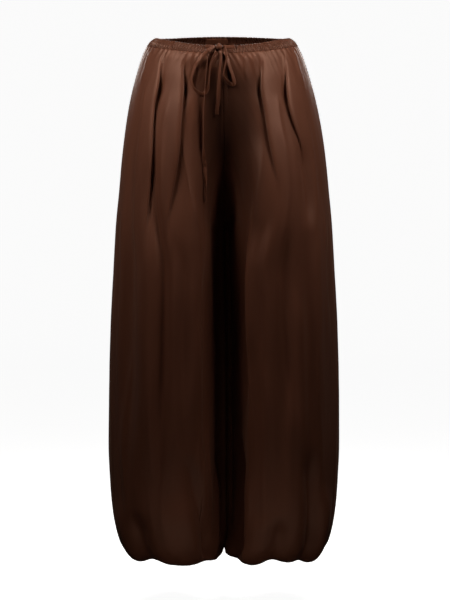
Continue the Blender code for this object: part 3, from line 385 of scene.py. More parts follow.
def smooth(table_x, table_y, x):
    """Values of a table at x by a curve that has no overshoot between its rows."""
    tx, ty = np.asarray(table_x, float), np.asarray(table_y, float)
    step, rise = np.diff(tx), np.diff(ty) / np.diff(tx)
    slope = np.zeros(len(tx))
    same = rise[:-1] * rise[1:] > 0
    w1, w2 = 2 * step[1:] + step[:-1], step[1:] + 2 * step[:-1]
    safe = np.where(same, rise[:-1], 1.0), np.where(same, rise[1:], 1.0)
    slope[1:-1] = np.where(same, (w1 + w2) / (w1 / safe[0] + w2 / safe[1]), 0.0)
    slope[0], slope[-1] = rise[0], rise[-1]
    x = np.clip(np.asarray(x, float), tx[0], tx[-1])
    i = np.clip(np.searchsorted(tx, x, side="right") - 1, 0, len(step) - 1)
    u = (x - tx[i]) / step[i]
    h00, h10 = (1 + 2 * u) * (1 - u) ** 2, u * (1 - u) ** 2
    h01, h11 = u * u * (3 - 2 * u), u * u * (u - 1)
    return h00 * ty[i] + h10 * step[i] * slope[i] + h01 * ty[i + 1] + h11 * step[i] * slope[i + 1]


def ease(x, start, end):
    """0 before start, 1 after end, smooth between."""
    u = np.clip((np.asarray(x, float) - start) / (end - start), 0.0, 1.0)
    return u * u * (3 - 2 * u)


def span(x, start, full, leave, end):
    """0 before start and after end, 1 from full to leave, smooth between."""
    return ease(x, start, full) * (1 - ease(x, leave, end))


def section(drop):
    """The section table at the drops given, by column name."""
    columns = list(zip(*SECTIONS))
    return {name: smooth(columns[0], columns[k], drop) for k, name in enumerate(SECTION_NAMES)}


def waist_lift(drop, share, back):
    """How the waist's dip and rise move a point, share being its depth over the section's depth."""
    fade = 1.0 - ease(drop, *WAIST_FADE)
    return fade * (WAIST_RISE if back else -WAIST_DIP) * share**2


def ring(drop, back, count, plain=False):
    """One section of a panel, from side seam to middle or inside seam, as evenly spaced points."""
    s = {name: float(value) for name, value in section(drop).items()}
    phi = np.linspace(0.0, np.pi, 1441)
    middle, half = (s["inner"] + s["outer"]) / 2, (s["outer"] - s["inner"]) / 2
    x = middle + half * np.cos(phi)
    rounded = x + s["valley"] * np.exp(-np.maximum(x, 0) / s["valley"]) if s["valley"] > 0.05 else x
    cosine = np.clip((rounded - middle) / half, -1.0, 1.0)
    sine = np.sqrt(1.0 - cosine**2)
    share = sine
    if not (back or plain):
        square = (1.0 - np.abs(cosine) ** s["full"]) ** (1.0 / s["full"])
        trough = s["floor"] + (1.0 - s["floor"]) * ease(x, s["narrow"], s["wide"])
        share = np.where(cosine < 0, square, sine) * trough
    depth = s["back"] if back else s["front"]
    y = depth * share
    clear = np.minimum(x, y) - SEAM_GAP / 2
    inside = np.flatnonzero(clear > 0)
    first, last = inside[0], inside[-1]
    points = [(x[k], y[k], share[k]) for k in range(first, last + 1)]
    for a, b, at in ((first - 1, first, 0), (last + 1, last, len(points) + 1)):
        if 0 <= a < len(x):
            u = clear[a] / (clear[a] - clear[b])
            cut = tuple(p[a] + (p[b] - p[a]) * u for p in (x, y, share))
            points.insert(at, cut)
    points = np.array(points)
    height = s["height"] + waist_lift(drop, points[:, 2], back)
    line = np.column_stack([points[:, 0], points[:, 1] * (1 if back else -1), height])
    along = np.concatenate([[0], np.cumsum(np.linalg.norm(np.diff(line, axis=0), axis=1))])
    at = np.linspace(0, along[-1], count)
    return np.column_stack([np.interp(at, along, line[:, k]) for k in range(3)]), along[-1]


def normals_of(grid, flip):
    """Unit normals of a grid of points, pointing out of the cloth's face."""
    across = np.gradient(grid, axis=1)
    down = np.gradient(grid, axis=0)
    normal = np.cross(across, down) * flip
    return normal / np.maximum(np.linalg.norm(normal, axis=2, keepdims=True), 1e-12)


def girth_measure(drops, back):
    """The panel's width at each drop without the trough, smoothed across the fork: folds are placed by it."""
    return smooth(GIRTH_DROPS, [ring(d, back, 3, True)[1] for d in GIRTH_DROPS], drops)


def base_panel(drops, back, count=241):
    """The panel without folds: points, normals and girth for each drop."""
    rings = [ring(d, back, count) for d in drops]
    grid = np.array([r[0] for r in rings])
    return grid, normals_of(grid, -1.0 if back else 1.0), np.array([r[1] for r in rings])


def pleat_rows(side, back):
    """The rows of the pleat table that a panel has, by column name."""
    return [] if back else [dict(zip(PLEAT_NAMES, row)) for row in PLEATS if row[0] == side]


def pleat_lines(pleats, drops, grid, girth):
    """How far from the side seam each pleat's edge runs, at each drop."""
    along = np.linspace(0.0, 1.0, grid.shape[1])
    lines = []
    for pleat in pleats:
        places = smooth(PLEAT_DROPS, pleat["from_middle"], drops)
        lines.append(np.array([np.interp(-x, -row[:, 0], along) for x, row in zip(places, grid)]) * girth)
    return lines


def pleat_shift(arc, drops, lines, pleats):
    """How knife pleats move the cloth along itself and out of itself."""
    along, out = np.zeros_like(arc), np.zeros_like(arc)
    for pleat, line in zip(pleats, lines):
        rise = ease(drops, pleat["opens"] - PLEAT_OPENING[0], pleat["opens"] + PLEAT_OPENING[1])
        fall = 1.0 - ease(drops, pleat["ends"] - PLEAT_ENDING, pleat["ends"])
        q = (arc - line[:, None]) / PLEAT_REACH
        curl = (pleat["lap"] + PLEAT_REACH / 2) * (rise * fall)[:, None]
        along += np.where(np.abs(q) < 1, curl * np.sin(-np.pi * np.clip(q, -1, 1)), 0.0)
        inside = np.clip(q, -1, 1)
        step = 0.5 + 0.5 * (inside - PLEAT_CURL * np.sin(2 * np.pi * inside))
        over = (np.abs(q) - 1).clip(0) * PLEAT_REACH
        low = (rise * fall + PLEAT_START * ease(drops, 0, PLEAT_START_DROP) * (1 - rise))[:, None]
        above = PLEAT_LIFT * (1 - step) * np.exp(-((over / PLEAT_OUTER_FADE) ** 2))
        below = (1 - PLEAT_LIFT) * step * np.exp(-((over / pleat["inner_fade"]) ** 2))
        out += low * pleat["height"] * (above - below)
        mouth = np.exp(-(((drops - pleat["opens"] - PLEAT_PIT["below"]) / PLEAT_PIT["length"]) ** 2))[:, None]
        beside = arc - line[:, None] - PLEAT_PIT["beside"]
        out -= PLEAT_PIT["depth"] * mouth * np.exp(-((beside / PLEAT_PIT["width"]) ** 2))
    return along, out


def fold_shift(arc, drops, measure, side, back):
    """Ridges and troughs of the cloth, from the fold table."""
    out = np.zeros_like(arc)
    for row in FOLDS:
        fold = dict(zip(FOLD_NAMES, row))
        if fold["panel"] != (side, back):
            continue
        u = (drops - fold["top"]) / (fold["bottom"] - fold["top"])
        taper = span(u, *FOLD_TAPER)
        place = fold["around_top"] + (fold["around_bottom"] - fold["around_top"]) * u
        gap = (arc - (place * measure)[:, None]) / fold["width"]
        out += fold["height"] * taper[:, None] * np.exp(-0.5 * gap**2)
    return out


def seam_window(arc, girth):
    """0 on a panel's side edges and 1 away from them."""
    return ease(arc, 0.0, SEAM_STILL) * ease(girth[:, None] - arc, 0.0, SEAM_STILL)


def lattice_noise(u, v, seed):
    """Smooth values between -1 and 1 over a plane, one free value at each whole number."""
    table = np.random.default_rng(seed).uniform(-1.0, 1.0, (64, 64))
    i, j = np.floor(u).astype(int), np.floor(v).astype(int)
    a, b = u - i, v - j
    a, b = a**3 * (10 - 15 * a + 6 * a * a), b**3 * (10 - 15 * b + 6 * b * b)
    i0, i1, j0, j1 = i % 64, (i + 1) % 64, j % 64, (j + 1) % 64
    low = table[i0, j0] * (1 - a) + table[i1, j0] * a
    high = table[i0, j1] * (1 - a) + table[i1, j1] * a
    return low * (1 - b) + high * b


def crease_shift(arc, drops, measure, side, back):
    """The finer folds of the crease table."""
    out = np.zeros_like(arc)
    for row in CREASES:
        crease = dict(zip(CREASE_NAMES, row))
        if crease["panel"] != (side, back):
            continue
        u = (drops - crease["top"]) / (crease["bottom"] - crease["top"])
        taper = span(u, *CREASE_TAPER)
        place = (crease["around_top"] + (crease["around_bottom"] - crease["around_top"]) * u) * measure
        place = place + crease["wander"] * np.sin(2 * np.pi * 1.4 * u + crease["top"])
        gap = arc - place[:, None]
        width = np.where(gap < 0, crease["before"], crease["after"])
        out += crease["height"] * taper[:, None] * np.exp(-0.5 * (gap / width) ** 2)
    return out


def slack_shift(arc, drops, side, back):
    """The small unevenness of loose cloth, longer down the leg than across it."""
    seed = 11 + (2 if back else 0) + (1 if side > 0 else 0)
    down = np.broadcast_to(drops[:, None], arc.shape)
    slant = down + 0.15 * arc
    loose = ease(drops, 10, 160)[:, None]
    broad, mid, fine = (
        height * lattice_noise(arc / wide, slant / long, seed + 10 * k)
        for k, (wide, long, height) in enumerate(SLACK)
    )
    return loose * (broad + mid) + fine


def gather_shift(arc, drops, girth, side, back):
    """The cloth's small gathers and hump under the waistband, and its gathers above the hem band."""
    seed = 40 + (2 if back else 0) + (1 if side > 0 else 0)
    flat = np.zeros_like(arc)
    turn = 2 * np.pi * arc / WAIST_GATHER_PITCH + 1.6 * lattice_noise(arc / 14.0, flat + 0.5, seed)
    reach = WAIST_GATHER_FADE * (1 + 0.5 * lattice_noise(arc / 9.0, flat + 3.5, seed))
    depth = drops[:, None]
    hump = WAIST_HUMP * (1 - np.exp(-depth / HUMP_RISE)) * np.exp(-depth / HUMP_FALL)
    waist = WAIST_GATHER * np.exp(-depth / reach) * np.cos(turn) + hump
    share = arc / girth[:, None]
    wave = 2 * np.pi * HEM_GATHERS * share + 1.9 * lattice_noise(share * 15, flat + 0.5, seed + 5)
    strength = 0.65 + 0.35 * lattice_noise(share * HEM_GATHERS, flat + 2.5, seed + 7)
    hem = HEM_GATHER * ease(drops, *HEM_GATHER_DROPS)[:, None] * strength * np.cos(wave)
    return waist, hem * (1 - 0.7 * ease(drops, HEM_FADE_DROP, CUFF_DROP)[:, None])


def column_arcs(drops, girth, measure, lines):
    """Where the columns stand at each drop, as distances from the side seam, close together along pleats."""
    if not lines:
        return np.linspace(0, 1, BACK_COLUMNS + 1)[None, :] * girth[:, None]
    wide = np.maximum(PLEAT_REACH * PLEAT_ZONE, PLEAT_ZONE_LOW * measure * ease(drops, *PLEAT_ZONE_DROPS))
    knots = [np.zeros(len(drops))]
    for line in lines:
        knots += [line - wide, line + wide]
    knots.append(girth)
    parts = []
    for k, count in enumerate(FRONT_COLUMNS):
        u = np.linspace(0, 1, count + 1)[: None if k == len(FRONT_COLUMNS) - 1 else -1]
        parts.append(knots[k][:, None] * (1 - u) + knots[k + 1][:, None] * u)
    return np.concatenate(parts, axis=1)


def panel_grid(drops, side, back):
    """A panel with its pleats, folds, creases and gathers, in the +X leg's space."""
    drops = np.asarray(drops, float)
    grid, normal, girth = base_panel(drops, back, BASE_COLUMNS)
    measure = girth_measure(drops, back)
    pleats = pleat_rows(side, back)
    lines = pleat_lines(pleats, drops, grid, girth)
    arc = column_arcs(drops, girth, measure, lines)
    along, out = pleat_shift(arc, drops, lines, pleats)
    out = out + fold_shift(arc, drops, measure, side, back)
    out = out + crease_shift(arc, drops, measure, side, back) + slack_shift(arc, drops, side, back)
    edge = seam_window(arc, girth)
    ends = span(drops, 0, END_STILL[0], CUFF_DROP - END_STILL[1], CUFF_DROP)
    waist, hem = gather_shift(arc, drops, girth, side, back)
    near = np.minimum(arc, girth[:, None] - arc)
    out = out * edge * ends[:, None] + (waist + hem) * ease(near, 0.0, GATHER_STILL)
    out = out - SEAM_DIP * np.exp(-((near / SEAM_DIP_WIDTH) ** 2)) * ease(drops, *SEAM_DIP_DROPS)[:, None]
    at = np.clip((arc + along * edge) / girth[:, None], 0, 1) * (grid.shape[1] - 1)
    i = np.minimum(at.astype(int), grid.shape[1] - 2)
    u = (at - i)[..., None]
    rows = np.arange(len(drops))[:, None]
    points = grid[rows, i] * (1 - u) + grid[rows, i + 1] * u
    outward = normal[rows, i] * (1 - u) + normal[rows, i + 1] * u
    return points + outward * out[..., None]


def keep_clear(points, back, drops):
    """Keeps a panel's points on their own side of the middle plane and of its seams."""
    half = SEAM_GAP / 2
    points[..., 0] = np.maximum(points[..., 0], half)
    below = np.asarray(drops) > FORK_DROP
    points[below, :, 0] = np.maximum(points[below, :, 0], FORK_CLEAR)
    points[:, 0, 1] = half if back else -half
    points[below, -1, 1] = half if back else -half
    points[~below, -1, 0] = half
    return points


def placed(points, side):
    """From the +X leg's space in millimetres to where the cloth stands, in metres."""
    out = np.array(points)
    x, y, drop = points[..., 0], points[..., 1], -points[..., 2]
    out[..., 0] *= side
    shift = WAIST_SHIFT * (1.0 - ease(drop, *SHIFT_FADE))
    near = np.exp(-((x / PRESS_REACH) ** 2)) * np.exp(-((y / PRESS_DEEP) ** 2))
    press = span(drop, *PRESS_SPAN) * PRESS_DEPTH * near * np.sin(np.pi * y / PRESS_LENGTH)
    lean = LEAN * span(drop, *LEAN_SPAN)
    out[..., 0] += shift + press + lean * np.exp(-((x / LEAN_REACH) ** 2))
    return out * MM


def band_profile(phi):
    """The waistband's top and bottom edges and the cloth's outward direction, at angles round the waist.

    phi is 0 at the +X side, 90 degrees at the back and 270 in front.
    """
    s = section(0.0)
    back = np.sin(phi) > 0
    depth = np.where(back, s["back"], s["front"])
    share = np.abs(np.sin(phi))
    lift = np.where(back, WAIST_RISE, -WAIST_DIP) * share**2
    bottom = np.column_stack([s["outer"] * np.cos(phi), depth * np.sin(phi), s["height"] + lift])
    deep = np.where(back, BAND_TOP["back"], BAND_TOP["front"])
    rise = np.where(back, BAND_TOP["rise"], -BAND_TOP["dip"]) * share**2
    top = np.column_stack([BAND_TOP["side"] * np.cos(phi), deep * np.sin(phi), BAND_TOP["height"] + rise])
    return top, bottom


def even_angles(count):
    """Angles that space points evenly round the waistband's bottom edge."""
    phi = np.linspace(0, 2 * np.pi, 2881)
    _, bottom = band_profile(phi)
    along = np.concatenate([[0], np.cumsum(np.linalg.norm(np.diff(bottom, axis=0), axis=1))])
    return np.interp(np.arange(count) / count * along[-1], along, phi)


def panel_direction(phi):
    """The panels' outward direction at the waist seam, at angles round the waist."""
    out = np.zeros((len(phi), 3))
    waist = section(0.0)
    for back in (False, True):
        grid, normal, _ = base_panel([0.1, 2.0], back)
        angle = np.arctan2(grid[0, :, 1] / waist["back" if back else "front"], grid[0, :, 0] / waist["outer"])
        order = np.argsort(angle)
        for side in (1, -1):
            here = np.flatnonzero(((np.sin(phi) > 0) == back) & ((np.cos(phi) >= 0) == (side > 0)))
            a = np.arctan2(np.sin(phi[here]), np.abs(np.cos(phi[here])))
            for k in range(3):
                out[here, k] = np.interp(a, angle[order], normal[0, order, k]) * (side if k == 0 else 1)
    return out / np.linalg.norm(out, axis=1, keepdims=True)


def cloth_front(cloud, x, z, near=4.0):
    """The most forward cloth close to a point seen from the front."""
    close = np.hypot(cloud[:, 0] - x, cloud[:, 2] - z) < near
    while not close.any():
        near *= 1.5
        close = np.hypot(cloud[:, 0] - x, cloud[:, 2] - z) < near
    return cloud[close, 1].min()


def tie_frames(points, turns):
    """Width and thickness directions along a strip."""
    tangent = np.gradient(points, axis=0)
    tangent /= np.linalg.norm(tangent, axis=1, keepdims=True)
    flat = np.cross(tangent, (0.0, 1.0, 0.0))
    flat /= np.linalg.norm(flat, axis=1, keepdims=True)
    deep = np.cross(tangent, flat)
    c, s = np.cos(np.radians(turns))[:, None], np.sin(np.radians(turns))[:, None]
    return flat * c + deep * s, deep * c - flat * s


def tie_line(rows, cloud, stations):
    """A strip's middle line and turns, from its table, hung clear of the cloth."""
    table = np.array(rows, float)
    between = np.linspace(0, len(table) - 1, TIE_STEPS * (len(table) - 1) + 1)
    x, z, out, turn = (smooth(np.arange(len(table)), table[:, k], between) for k in range(4))
    y = np.array([cloth_front(cloud, *at) for at in zip(x, z)]) - out
    points = np.column_stack([x, y, z])
    along = np.concatenate([[0], np.cumsum(np.linalg.norm(np.diff(points, axis=0), axis=1))])
    at = np.linspace(0, along[-1], stations)
    line = np.column_stack([smooth(along, points[:, k], at) for k in range(3)])
    return line, smooth(along, turn, at)


def new_object(name, mesh):
    """An object in the scene that shows that mesh, light or camera."""
    obj = bpy.data.objects.new(name, mesh)
    bpy.context.scene.collection.objects.link(obj)
    return obj


def mesh_object(name, verts, faces):
    """A named object from points in metres and four-sided faces, turned outward."""
    mesh = bpy.data.meshes.new(name)
    verts = np.asarray(verts, float)
    a, b, c, d = (verts[faces[:, k]] for k in range(4))
    volume = np.einsum("ij,ij->", a, np.cross(b, c)) + np.einsum("ij,ij->", a, np.cross(c, d))
    if volume < 0:
        faces = faces[:, ::-1]
    mesh.from_pydata(verts.tolist(), [], faces.tolist())
    mesh.polygons.foreach_set("use_smooth", [True] * len(faces))
    mesh.update()
    return new_object(name, mesh)


def turned_outward(name, verts, faces):
    """An object from points in metres and faces of any kind, turned outward."""
    mesh = bpy.data.meshes.new(name)
    mesh.from_pydata(np.asarray(verts).tolist(), [], faces)
    bm = bmesh.new()
    bm.from_mesh(mesh)
    bmesh.ops.recalc_face_normals(bm, faces=bm.faces)
    if bm.calc_volume(signed=True) < 0:
        bmesh.ops.reverse_faces(bm, faces=bm.faces)
    bm.to_mesh(mesh)
    bm.free()
    mesh.polygons.foreach_set("use_smooth", [True] * len(mesh.polygons))
    return new_object(name, mesh)


def grid_faces(index, round_trip=False):
    """Four-sided faces over a table of point numbers, whose columns may run all the way round."""
    right = np.roll(index, -1, axis=1) if round_trip else index[:, 1:]
    left = index if round_trip else index[:, :-1]
    return np.stack([left[:-1], right[:-1], right[1:], left[1:]], axis=-1).reshape(-1, 4)


def cloth_wall(name, outer, inner, round_trip=False):
    """A closed layer of cloth between two grids of points."""
    rows, columns = outer.shape[:2]
    count = rows * columns
    index = np.arange(count).reshape(rows, columns)
    faces = [grid_faces(index, round_trip), grid_faces(index + count, round_trip)[:, ::-1]]
    if round_trip:
        for line, turned in ((index[0], True), (index[-1], False)):
            ahead = np.roll(line, -1)
            rim = np.stack([line, ahead, ahead + count, line + count], axis=-1)
            faces.append(rim[:, ::-1] if turned else rim)
    else:
        edge = np.concatenate([index[0], index[1:, -1], index[-1, -2::-1], index[-2:0:-1, 0]])
        ahead = np.roll(edge, -1)
        faces.append(np.stack([ahead, edge, edge + count, ahead + count], axis=-1))
    verts = np.concatenate([outer.reshape(-1, 3), inner.reshape(-1, 3)])
    return mesh_object(name, verts, np.concatenate(faces))


def squarish(value, power):
    """A sine or cosine drawn towards its ends, which makes a round section squarer."""
    return np.sign(value) * np.abs(value) ** power


def fans(lines, first):
    """Triangles that close rings of point numbers, each onto its own middle point, numbered from first."""
    return np.concatenate([
        np.stack([line, np.roll(line, -1), np.full(len(line), first + k)], axis=-1)
        for k, line in enumerate(lines)
    ]).tolist()


def swept(name, line, width, thick, half_width, half_thick, corner=0.7, around=16):
    """A strip with rounded edges along a line of points, closed at both ends."""
    angle = np.arange(around) / around * 2 * np.pi
    a, b = squarish(np.cos(angle), corner), squarish(np.sin(angle), corner)
    rings = line[:, None] + width[:, None] * a[None, :, None] * half_width[:, None, None]
    rings = rings + thick[:, None] * b[None, :, None] * half_thick[:, None, None]
    index = np.arange(len(line) * around).reshape(len(line), around)
    start, end = (fans(index[[k]], index.size + number) for number, k in enumerate((0, -1)))
    start = [[b, a, middle] for a, b, middle in start]
    verts = np.concatenate([rings.reshape(-1, 3), line[[0, -1]]])
    return turned_outward(name, verts, grid_faces(index, True).tolist() + start + end)


class Value:
    """A shader socket that adds, subtracts and multiplies as a number does."""

    def __init__(self, recipe, socket):
        self.recipe, self.socket = recipe, socket

    def _with(self, operation, first, second):
        return self.recipe.node("ShaderNodeMath", {"operation": operation}, {0: first, 1: second})

    def __add__(self, other):
        return self._with("ADD", self, other)

    __radd__ = __add__

    def __sub__(self, other):
        return self._with("SUBTRACT", self, other)

    def __rsub__(self, other):
        return self._with("SUBTRACT", other, self)

    def __mul__(self, other):
        return self._with("MULTIPLY", self, other)

    __rmul__ = __mul__


class Recipe:
    """A material's nodes, made one at a time."""

    def __init__(self, name):
        self.material = bpy.data.materials.new(name)
        self.material.use_nodes = True
        self.tree = self.material.node_tree
        self.shader = self.tree.nodes["Principled BSDF"]

    def node(self, kind, settings=None, sockets=None, out=0):
        """A node of that kind with its settings, then its sockets' values or links."""
        made = self.tree.nodes.new(kind)
        for key, value in (settings or {}).items():
            setattr(made, key, value)
        for key, value in (sockets or {}).items():
            self.put(made.inputs[key], value)
        return Value(self, made.outputs[out])

    def put(self, socket, value):
        if isinstance(value, Value):
            self.tree.links.new(value.socket, socket)
        else:
            socket.default_value = value

    def noise(self, place, size, detail=2.0, roughness=0.5):
        """Noise whose grains are that many metres across, along X, Y and Z."""
        scale = self.node("ShaderNodeVectorMath", {"operation": "DIVIDE"}, {0: place, 1: size})
        sockets = {"Vector": scale, "Scale": 1.0, "Detail": detail, "Roughness": roughness}
        return self.node("ShaderNodeTexNoise", {}, sockets)

    def mix(self, share, low, high):
        """A colour between low and high."""
        return self.node("ShaderNodeMix", {"data_type": "RGBA"}, {0: share, 6: low, 7: high}, out=2)

    def window(self, place, axis, start, full, leave, end):
        """1 between full and leave along an axis, and 0 before start and after end."""
        along = self.node("ShaderNodeSeparateXYZ", {}, {"Vector": place}, out=axis)
        smoothstep = {"interpolation_type": "SMOOTHSTEP"}
        rise = self.node("ShaderNodeMapRange", smoothstep, {0: along, 1: start, 2: full, 3: 0.0, 4: 1.0})
        fall = self.node("ShaderNodeMapRange", smoothstep, {0: along, 1: leave, 2: end, 3: 1.0, 4: 0.0})
        return rise * fall

    def finish(self, **sockets):
        for key, value in sockets.items():
            self.put(self.shader.inputs[key.replace("_", " ")], value)
        return self.material


def satin(name, look, shade=1.0, streak=LEG_STREAK, paints_shade=False):
    """Brown satin: uneven depth of colour, faint long slubs and a close smooth weave. Where asked, shade is
    painted into its colour in the recess between the legs.
    """
    recipe = Recipe(name)
    place = recipe.node("ShaderNodeTexCoord", out="Object")
    broad = recipe.noise(place, PATCH_SIZE, 3.0)
    slub = recipe.noise(place, streak, 4.0, 0.6)
    weave = recipe.noise(place, WEAVE_SIZE, 1.0)
    # The cloth's deepest and lightest tones, and the colour of the painted shade.
    deep, light, painted_shade_colour = (
        tuple(c * shade * share for c in look.colour) + (1.0,)
        for share in (DEEP_SHARE, LIGHT_SHARE, PAINTED_SHADE_SHARE)
    )
    colour = recipe.mix(broad * 0.65 + slub * 0.35, deep, light)
    # Painted shade: the colour is darkened in the recess between the pleats and legs, where shade falls.
    if paints_shade:
        painted_shade = recipe.window(place, "X", *PAINTED_SHADE_WINDOW["X"]) * recipe.window(place, "Y", *PAINTED_SHADE_WINDOW["Y"])
        painted_shade = painted_shade * recipe.window(place, "Z", *PAINTED_SHADE_WINDOW["Z"]) * PAINTED_SHADE_STRENGTH
        colour = recipe.mix(painted_shade, colour, painted_shade_colour)
    relief = {"Strength": RELIEF, "Distance": RELIEF_DEPTH, "Height": slub * 0.55 + weave * 0.45}
    shine_colour = tuple(look.shine_colour) + (1.0,)
    recipe.finish(
        Base_Color=colour,
        Roughness=look.roughness - GLOSS_VARIATION / 2 + slub * GLOSS_VARIATION,
        Normal=recipe.node("ShaderNodeBump", {}, relief),
        Specular_IOR_Level=look.shine,
        Specular_Tint=shine_colour,
        Sheen_Weight=look.sheen,
        Sheen_Roughness=SHEEN_ROUGHNESS,
        Sheen_Tint=shine_colour,
    )
    return recipe.material


def dress(obj, material, slot, *nodes):
    """Gives a piece its material and its body, and hides the solids that it stands for."""
    obj.data.materials.append(material)
    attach(obj, "root")
    if nodes:
        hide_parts(*nodes)
    return obj


def panel_drops():
    """The drops of a panel's rows."""
    parts = [np.linspace(a, b, n + 1)[:-1] for a, b, n in zip(ROW_ENDS, ROW_ENDS[1:], ROW_COUNTS)]
    return np.concatenate(parts + [ROW_ENDS[-1:]])


def make_panel(name, node, side, back, cloth, material):
    """One trouser panel in its folds."""
    drops = panel_drops()
    points = panel_grid(drops, side, back)
    inner = points - normals_of(points, -1.0 if back else 1.0) * cloth.thickness / MM
    points, inner = (keep_clear(p, back, drops) for p in (points, inner))
    across, down = path_length(points, 1).max() * MM, path_length(points, 0).max() * MM
    obj = cloth_wall(name, placed(points, side), placed(inner, side))
    dress(obj, material, "satin", node)
    laps = []
    if not back:
        laps = [make_allowance(node, inner, side, edge, drops, material) for edge in ("side", "middle")]
    min(cell_area(points), across * down)


def make_allowance(node, inner, side, edge, drops, material):
    """The seam allowance pressed flat behind a front's side seam or its middle and inside seam."""
    column, turn = (0, 1) if edge == "side" else (-1, -2)
    keep = (drops > ALLOWANCE_DROPS[0]) & (drops < ALLOWANCE_DROPS[1])
    seam, beside = inner[keep, column], inner[keep, turn]
    toward, down = beside - seam, np.gradient(seam, axis=0)
    toward /= np.linalg.norm(toward, axis=1, keepdims=True)
    down /= np.linalg.norm(down, axis=1, keepdims=True)
    inward = np.cross(toward, down)
    middle = np.array([LEG_MIDDLE, 0.0, 0.0]) - seam * np.array([1.0, 1.0, 0.0])
    inward *= np.sign((inward * middle).sum(1))[:, None]
    wide = ALLOWANCE * (1 + 0.06 * lattice_noise(seam[:, 2] / 30.0, seam[:, 2] * 0 + 0.5, 90))
    front = np.stack([
        seam + toward * u * wide[:, None] + inward * (ALLOWANCE_THICK + ALLOWANCE_CURL * u * u)
        for u in np.linspace(-1.0, 1.0, ALLOWANCE_COLUMNS)
    ], axis=1)
    back = front + inward[:, None] * ALLOWANCE_THICK
    if edge == "middle":
        below = drops[keep] > FORK_DROP
        for grid in (front, back):
            grid[below, :, 0] = np.maximum(grid[below, :, 0], ALLOWANCE_CLEAR)
    obj = cloth_wall(f"{node}_{edge}_allowance", placed(front, side), placed(back, side))
    return dress(obj, material, "satin")


def path_length(grid, axis):
    """How long a grid's lines are along an axis, in its own unit."""
    return np.linalg.norm(np.diff(grid, axis=axis), axis=2).sum(axis)


def cell_area(points):
    """The area of a grid of points in millimetres, in square metres."""
    a, b, c, d = points[:-1, :-1], points[:-1, 1:], points[1:, 1:], points[1:, :-1]
    crossed = np.cross(c - a, d - b)
    return float(np.linalg.norm(crossed, axis=2).sum() / 2 * MM * MM)


def band_faces(phi):
    """The waistband's face direction and the seam direction under it, at angles round the waist."""
    top, bottom = band_profile(phi)
    seam = panel_direction(phi)
    down = (bottom - top) / np.linalg.norm(bottom - top, axis=1, keepdims=True)
    face = np.cross(np.roll(top, -1, axis=0) - np.roll(top, 1, axis=0), down)
    face /= np.linalg.norm(face, axis=1, keepdims=True)
    face *= np.sign((face * seam).sum(1))[:, None]
    return top, bottom, face, seam


def make_waistband(material):
    """The casing, gathered on its elastic, with a flat stretch between the buttonholes."""
    count = BAND_GATHERS * BAND_COLUMNS
    phi = even_angles(count)
    top, bottom, face, seam = band_faces(phi)
    share = np.arange(count) / count
    random = np.random.default_rng(5)

    def each_gather(low, high, last):
        """A random value for each gather, read off round the band."""
        values = np.append(random.uniform(low, high, BAND_GATHERS), last)
        return np.interp(share * BAND_GATHERS, np.arange(BAND_GATHERS + 1), values)

    jitter = each_gather(-0.28, 0.28, 0.0)
    size = each_gather(0.55, 1.2, 0.8)
    lean = each_gather(-0.25, 0.25, 0.0)
    start, end = BAND_FLAT
    flat = span(bottom[:, 0], start - 4, start + 3, end - 3, end + 4) * (np.sin(phi) < 0)
    outer, inner = [], []
    for u in np.arange(BAND_ROWS) / (BAND_ROWS - 1):
        puff = (4 * u * (1 - u)) ** 0.8
        wave = np.cos(2 * np.pi * (share * BAND_GATHERS + jitter + lean * (u - 0.5)))
        ridge = np.abs(0.5 + 0.5 * wave) ** 0.7 - 0.55
        mark = BAND_GATHER_DEPTH * 1.9 * size * ridge * (1 - flat) * (0.35 + 0.65 * puff)
        rim = math.sqrt(max(0.0, 1 - (1 - min(1.0, u / BAND_ROUND)) ** 2))
        pressed = -0.8 * math.exp(-(((u - STITCH_ROW) / 0.05) ** 2))
        hem = pressed + 0.25 * math.exp(-(((u - 0.10) / 0.06) ** 2))
        direction = face * (1 - u) + seam * u
        direction /= np.linalg.norm(direction, axis=1, keepdims=True)
        lift = BAND_PUFF * puff + mark + hem
        line = top * (1 - u) + bottom * u + face * lift[:, None] - direction * (BAND_THICK / 2 * (1 - rim))
        line[:, 2] += 0.35 * mark * (1 - u) ** 3
        wall = BAND_THICK * rim + 0.02 + (1.2 * puff + 0.6 * mark * puff)[:, None]
        outer.append(line)
        inner.append(line - direction * wall)
    outer, inner = np.array(outer), np.array(inner)
    obj = cloth_wall("waistband_cloth", placed(outer, 1), placed(inner, 1), True)
    dress(obj, material, "waistband_satin", "waistband")
    around, deep = path_length(outer, 1).max() * MM, path_length(outer, 0).max() * MM
    line = band_line(outer, STITCH_ROW)
    out = face_out(line, placed(inner, 1), STITCH_ROW)
    sewn = [make_stitches("waistband_stitches", line, out, material)]
    sewn += [make_buttonhole(f"buttonhole_{k}", outer, x, material) for k, x in enumerate(BUTTONHOLES, 1)]
    area = min(cell_area(outer), around * deep)


def band_line(grid, u):
    """The line round a grid of rows at a share of the way down, in metres."""
    at = u * (len(grid) - 1)
    k = int(at)
    return placed(grid[k] * (1 - at + k) + grid[k + 1] * (at - k), 1)


def face_out(line, inner, u):
    """Directions from the cloth's inside to its face along a line."""
    out = line - inner[round(u * (len(inner) - 1))]
    return out / np.linalg.norm(out, axis=1, keepdims=True)


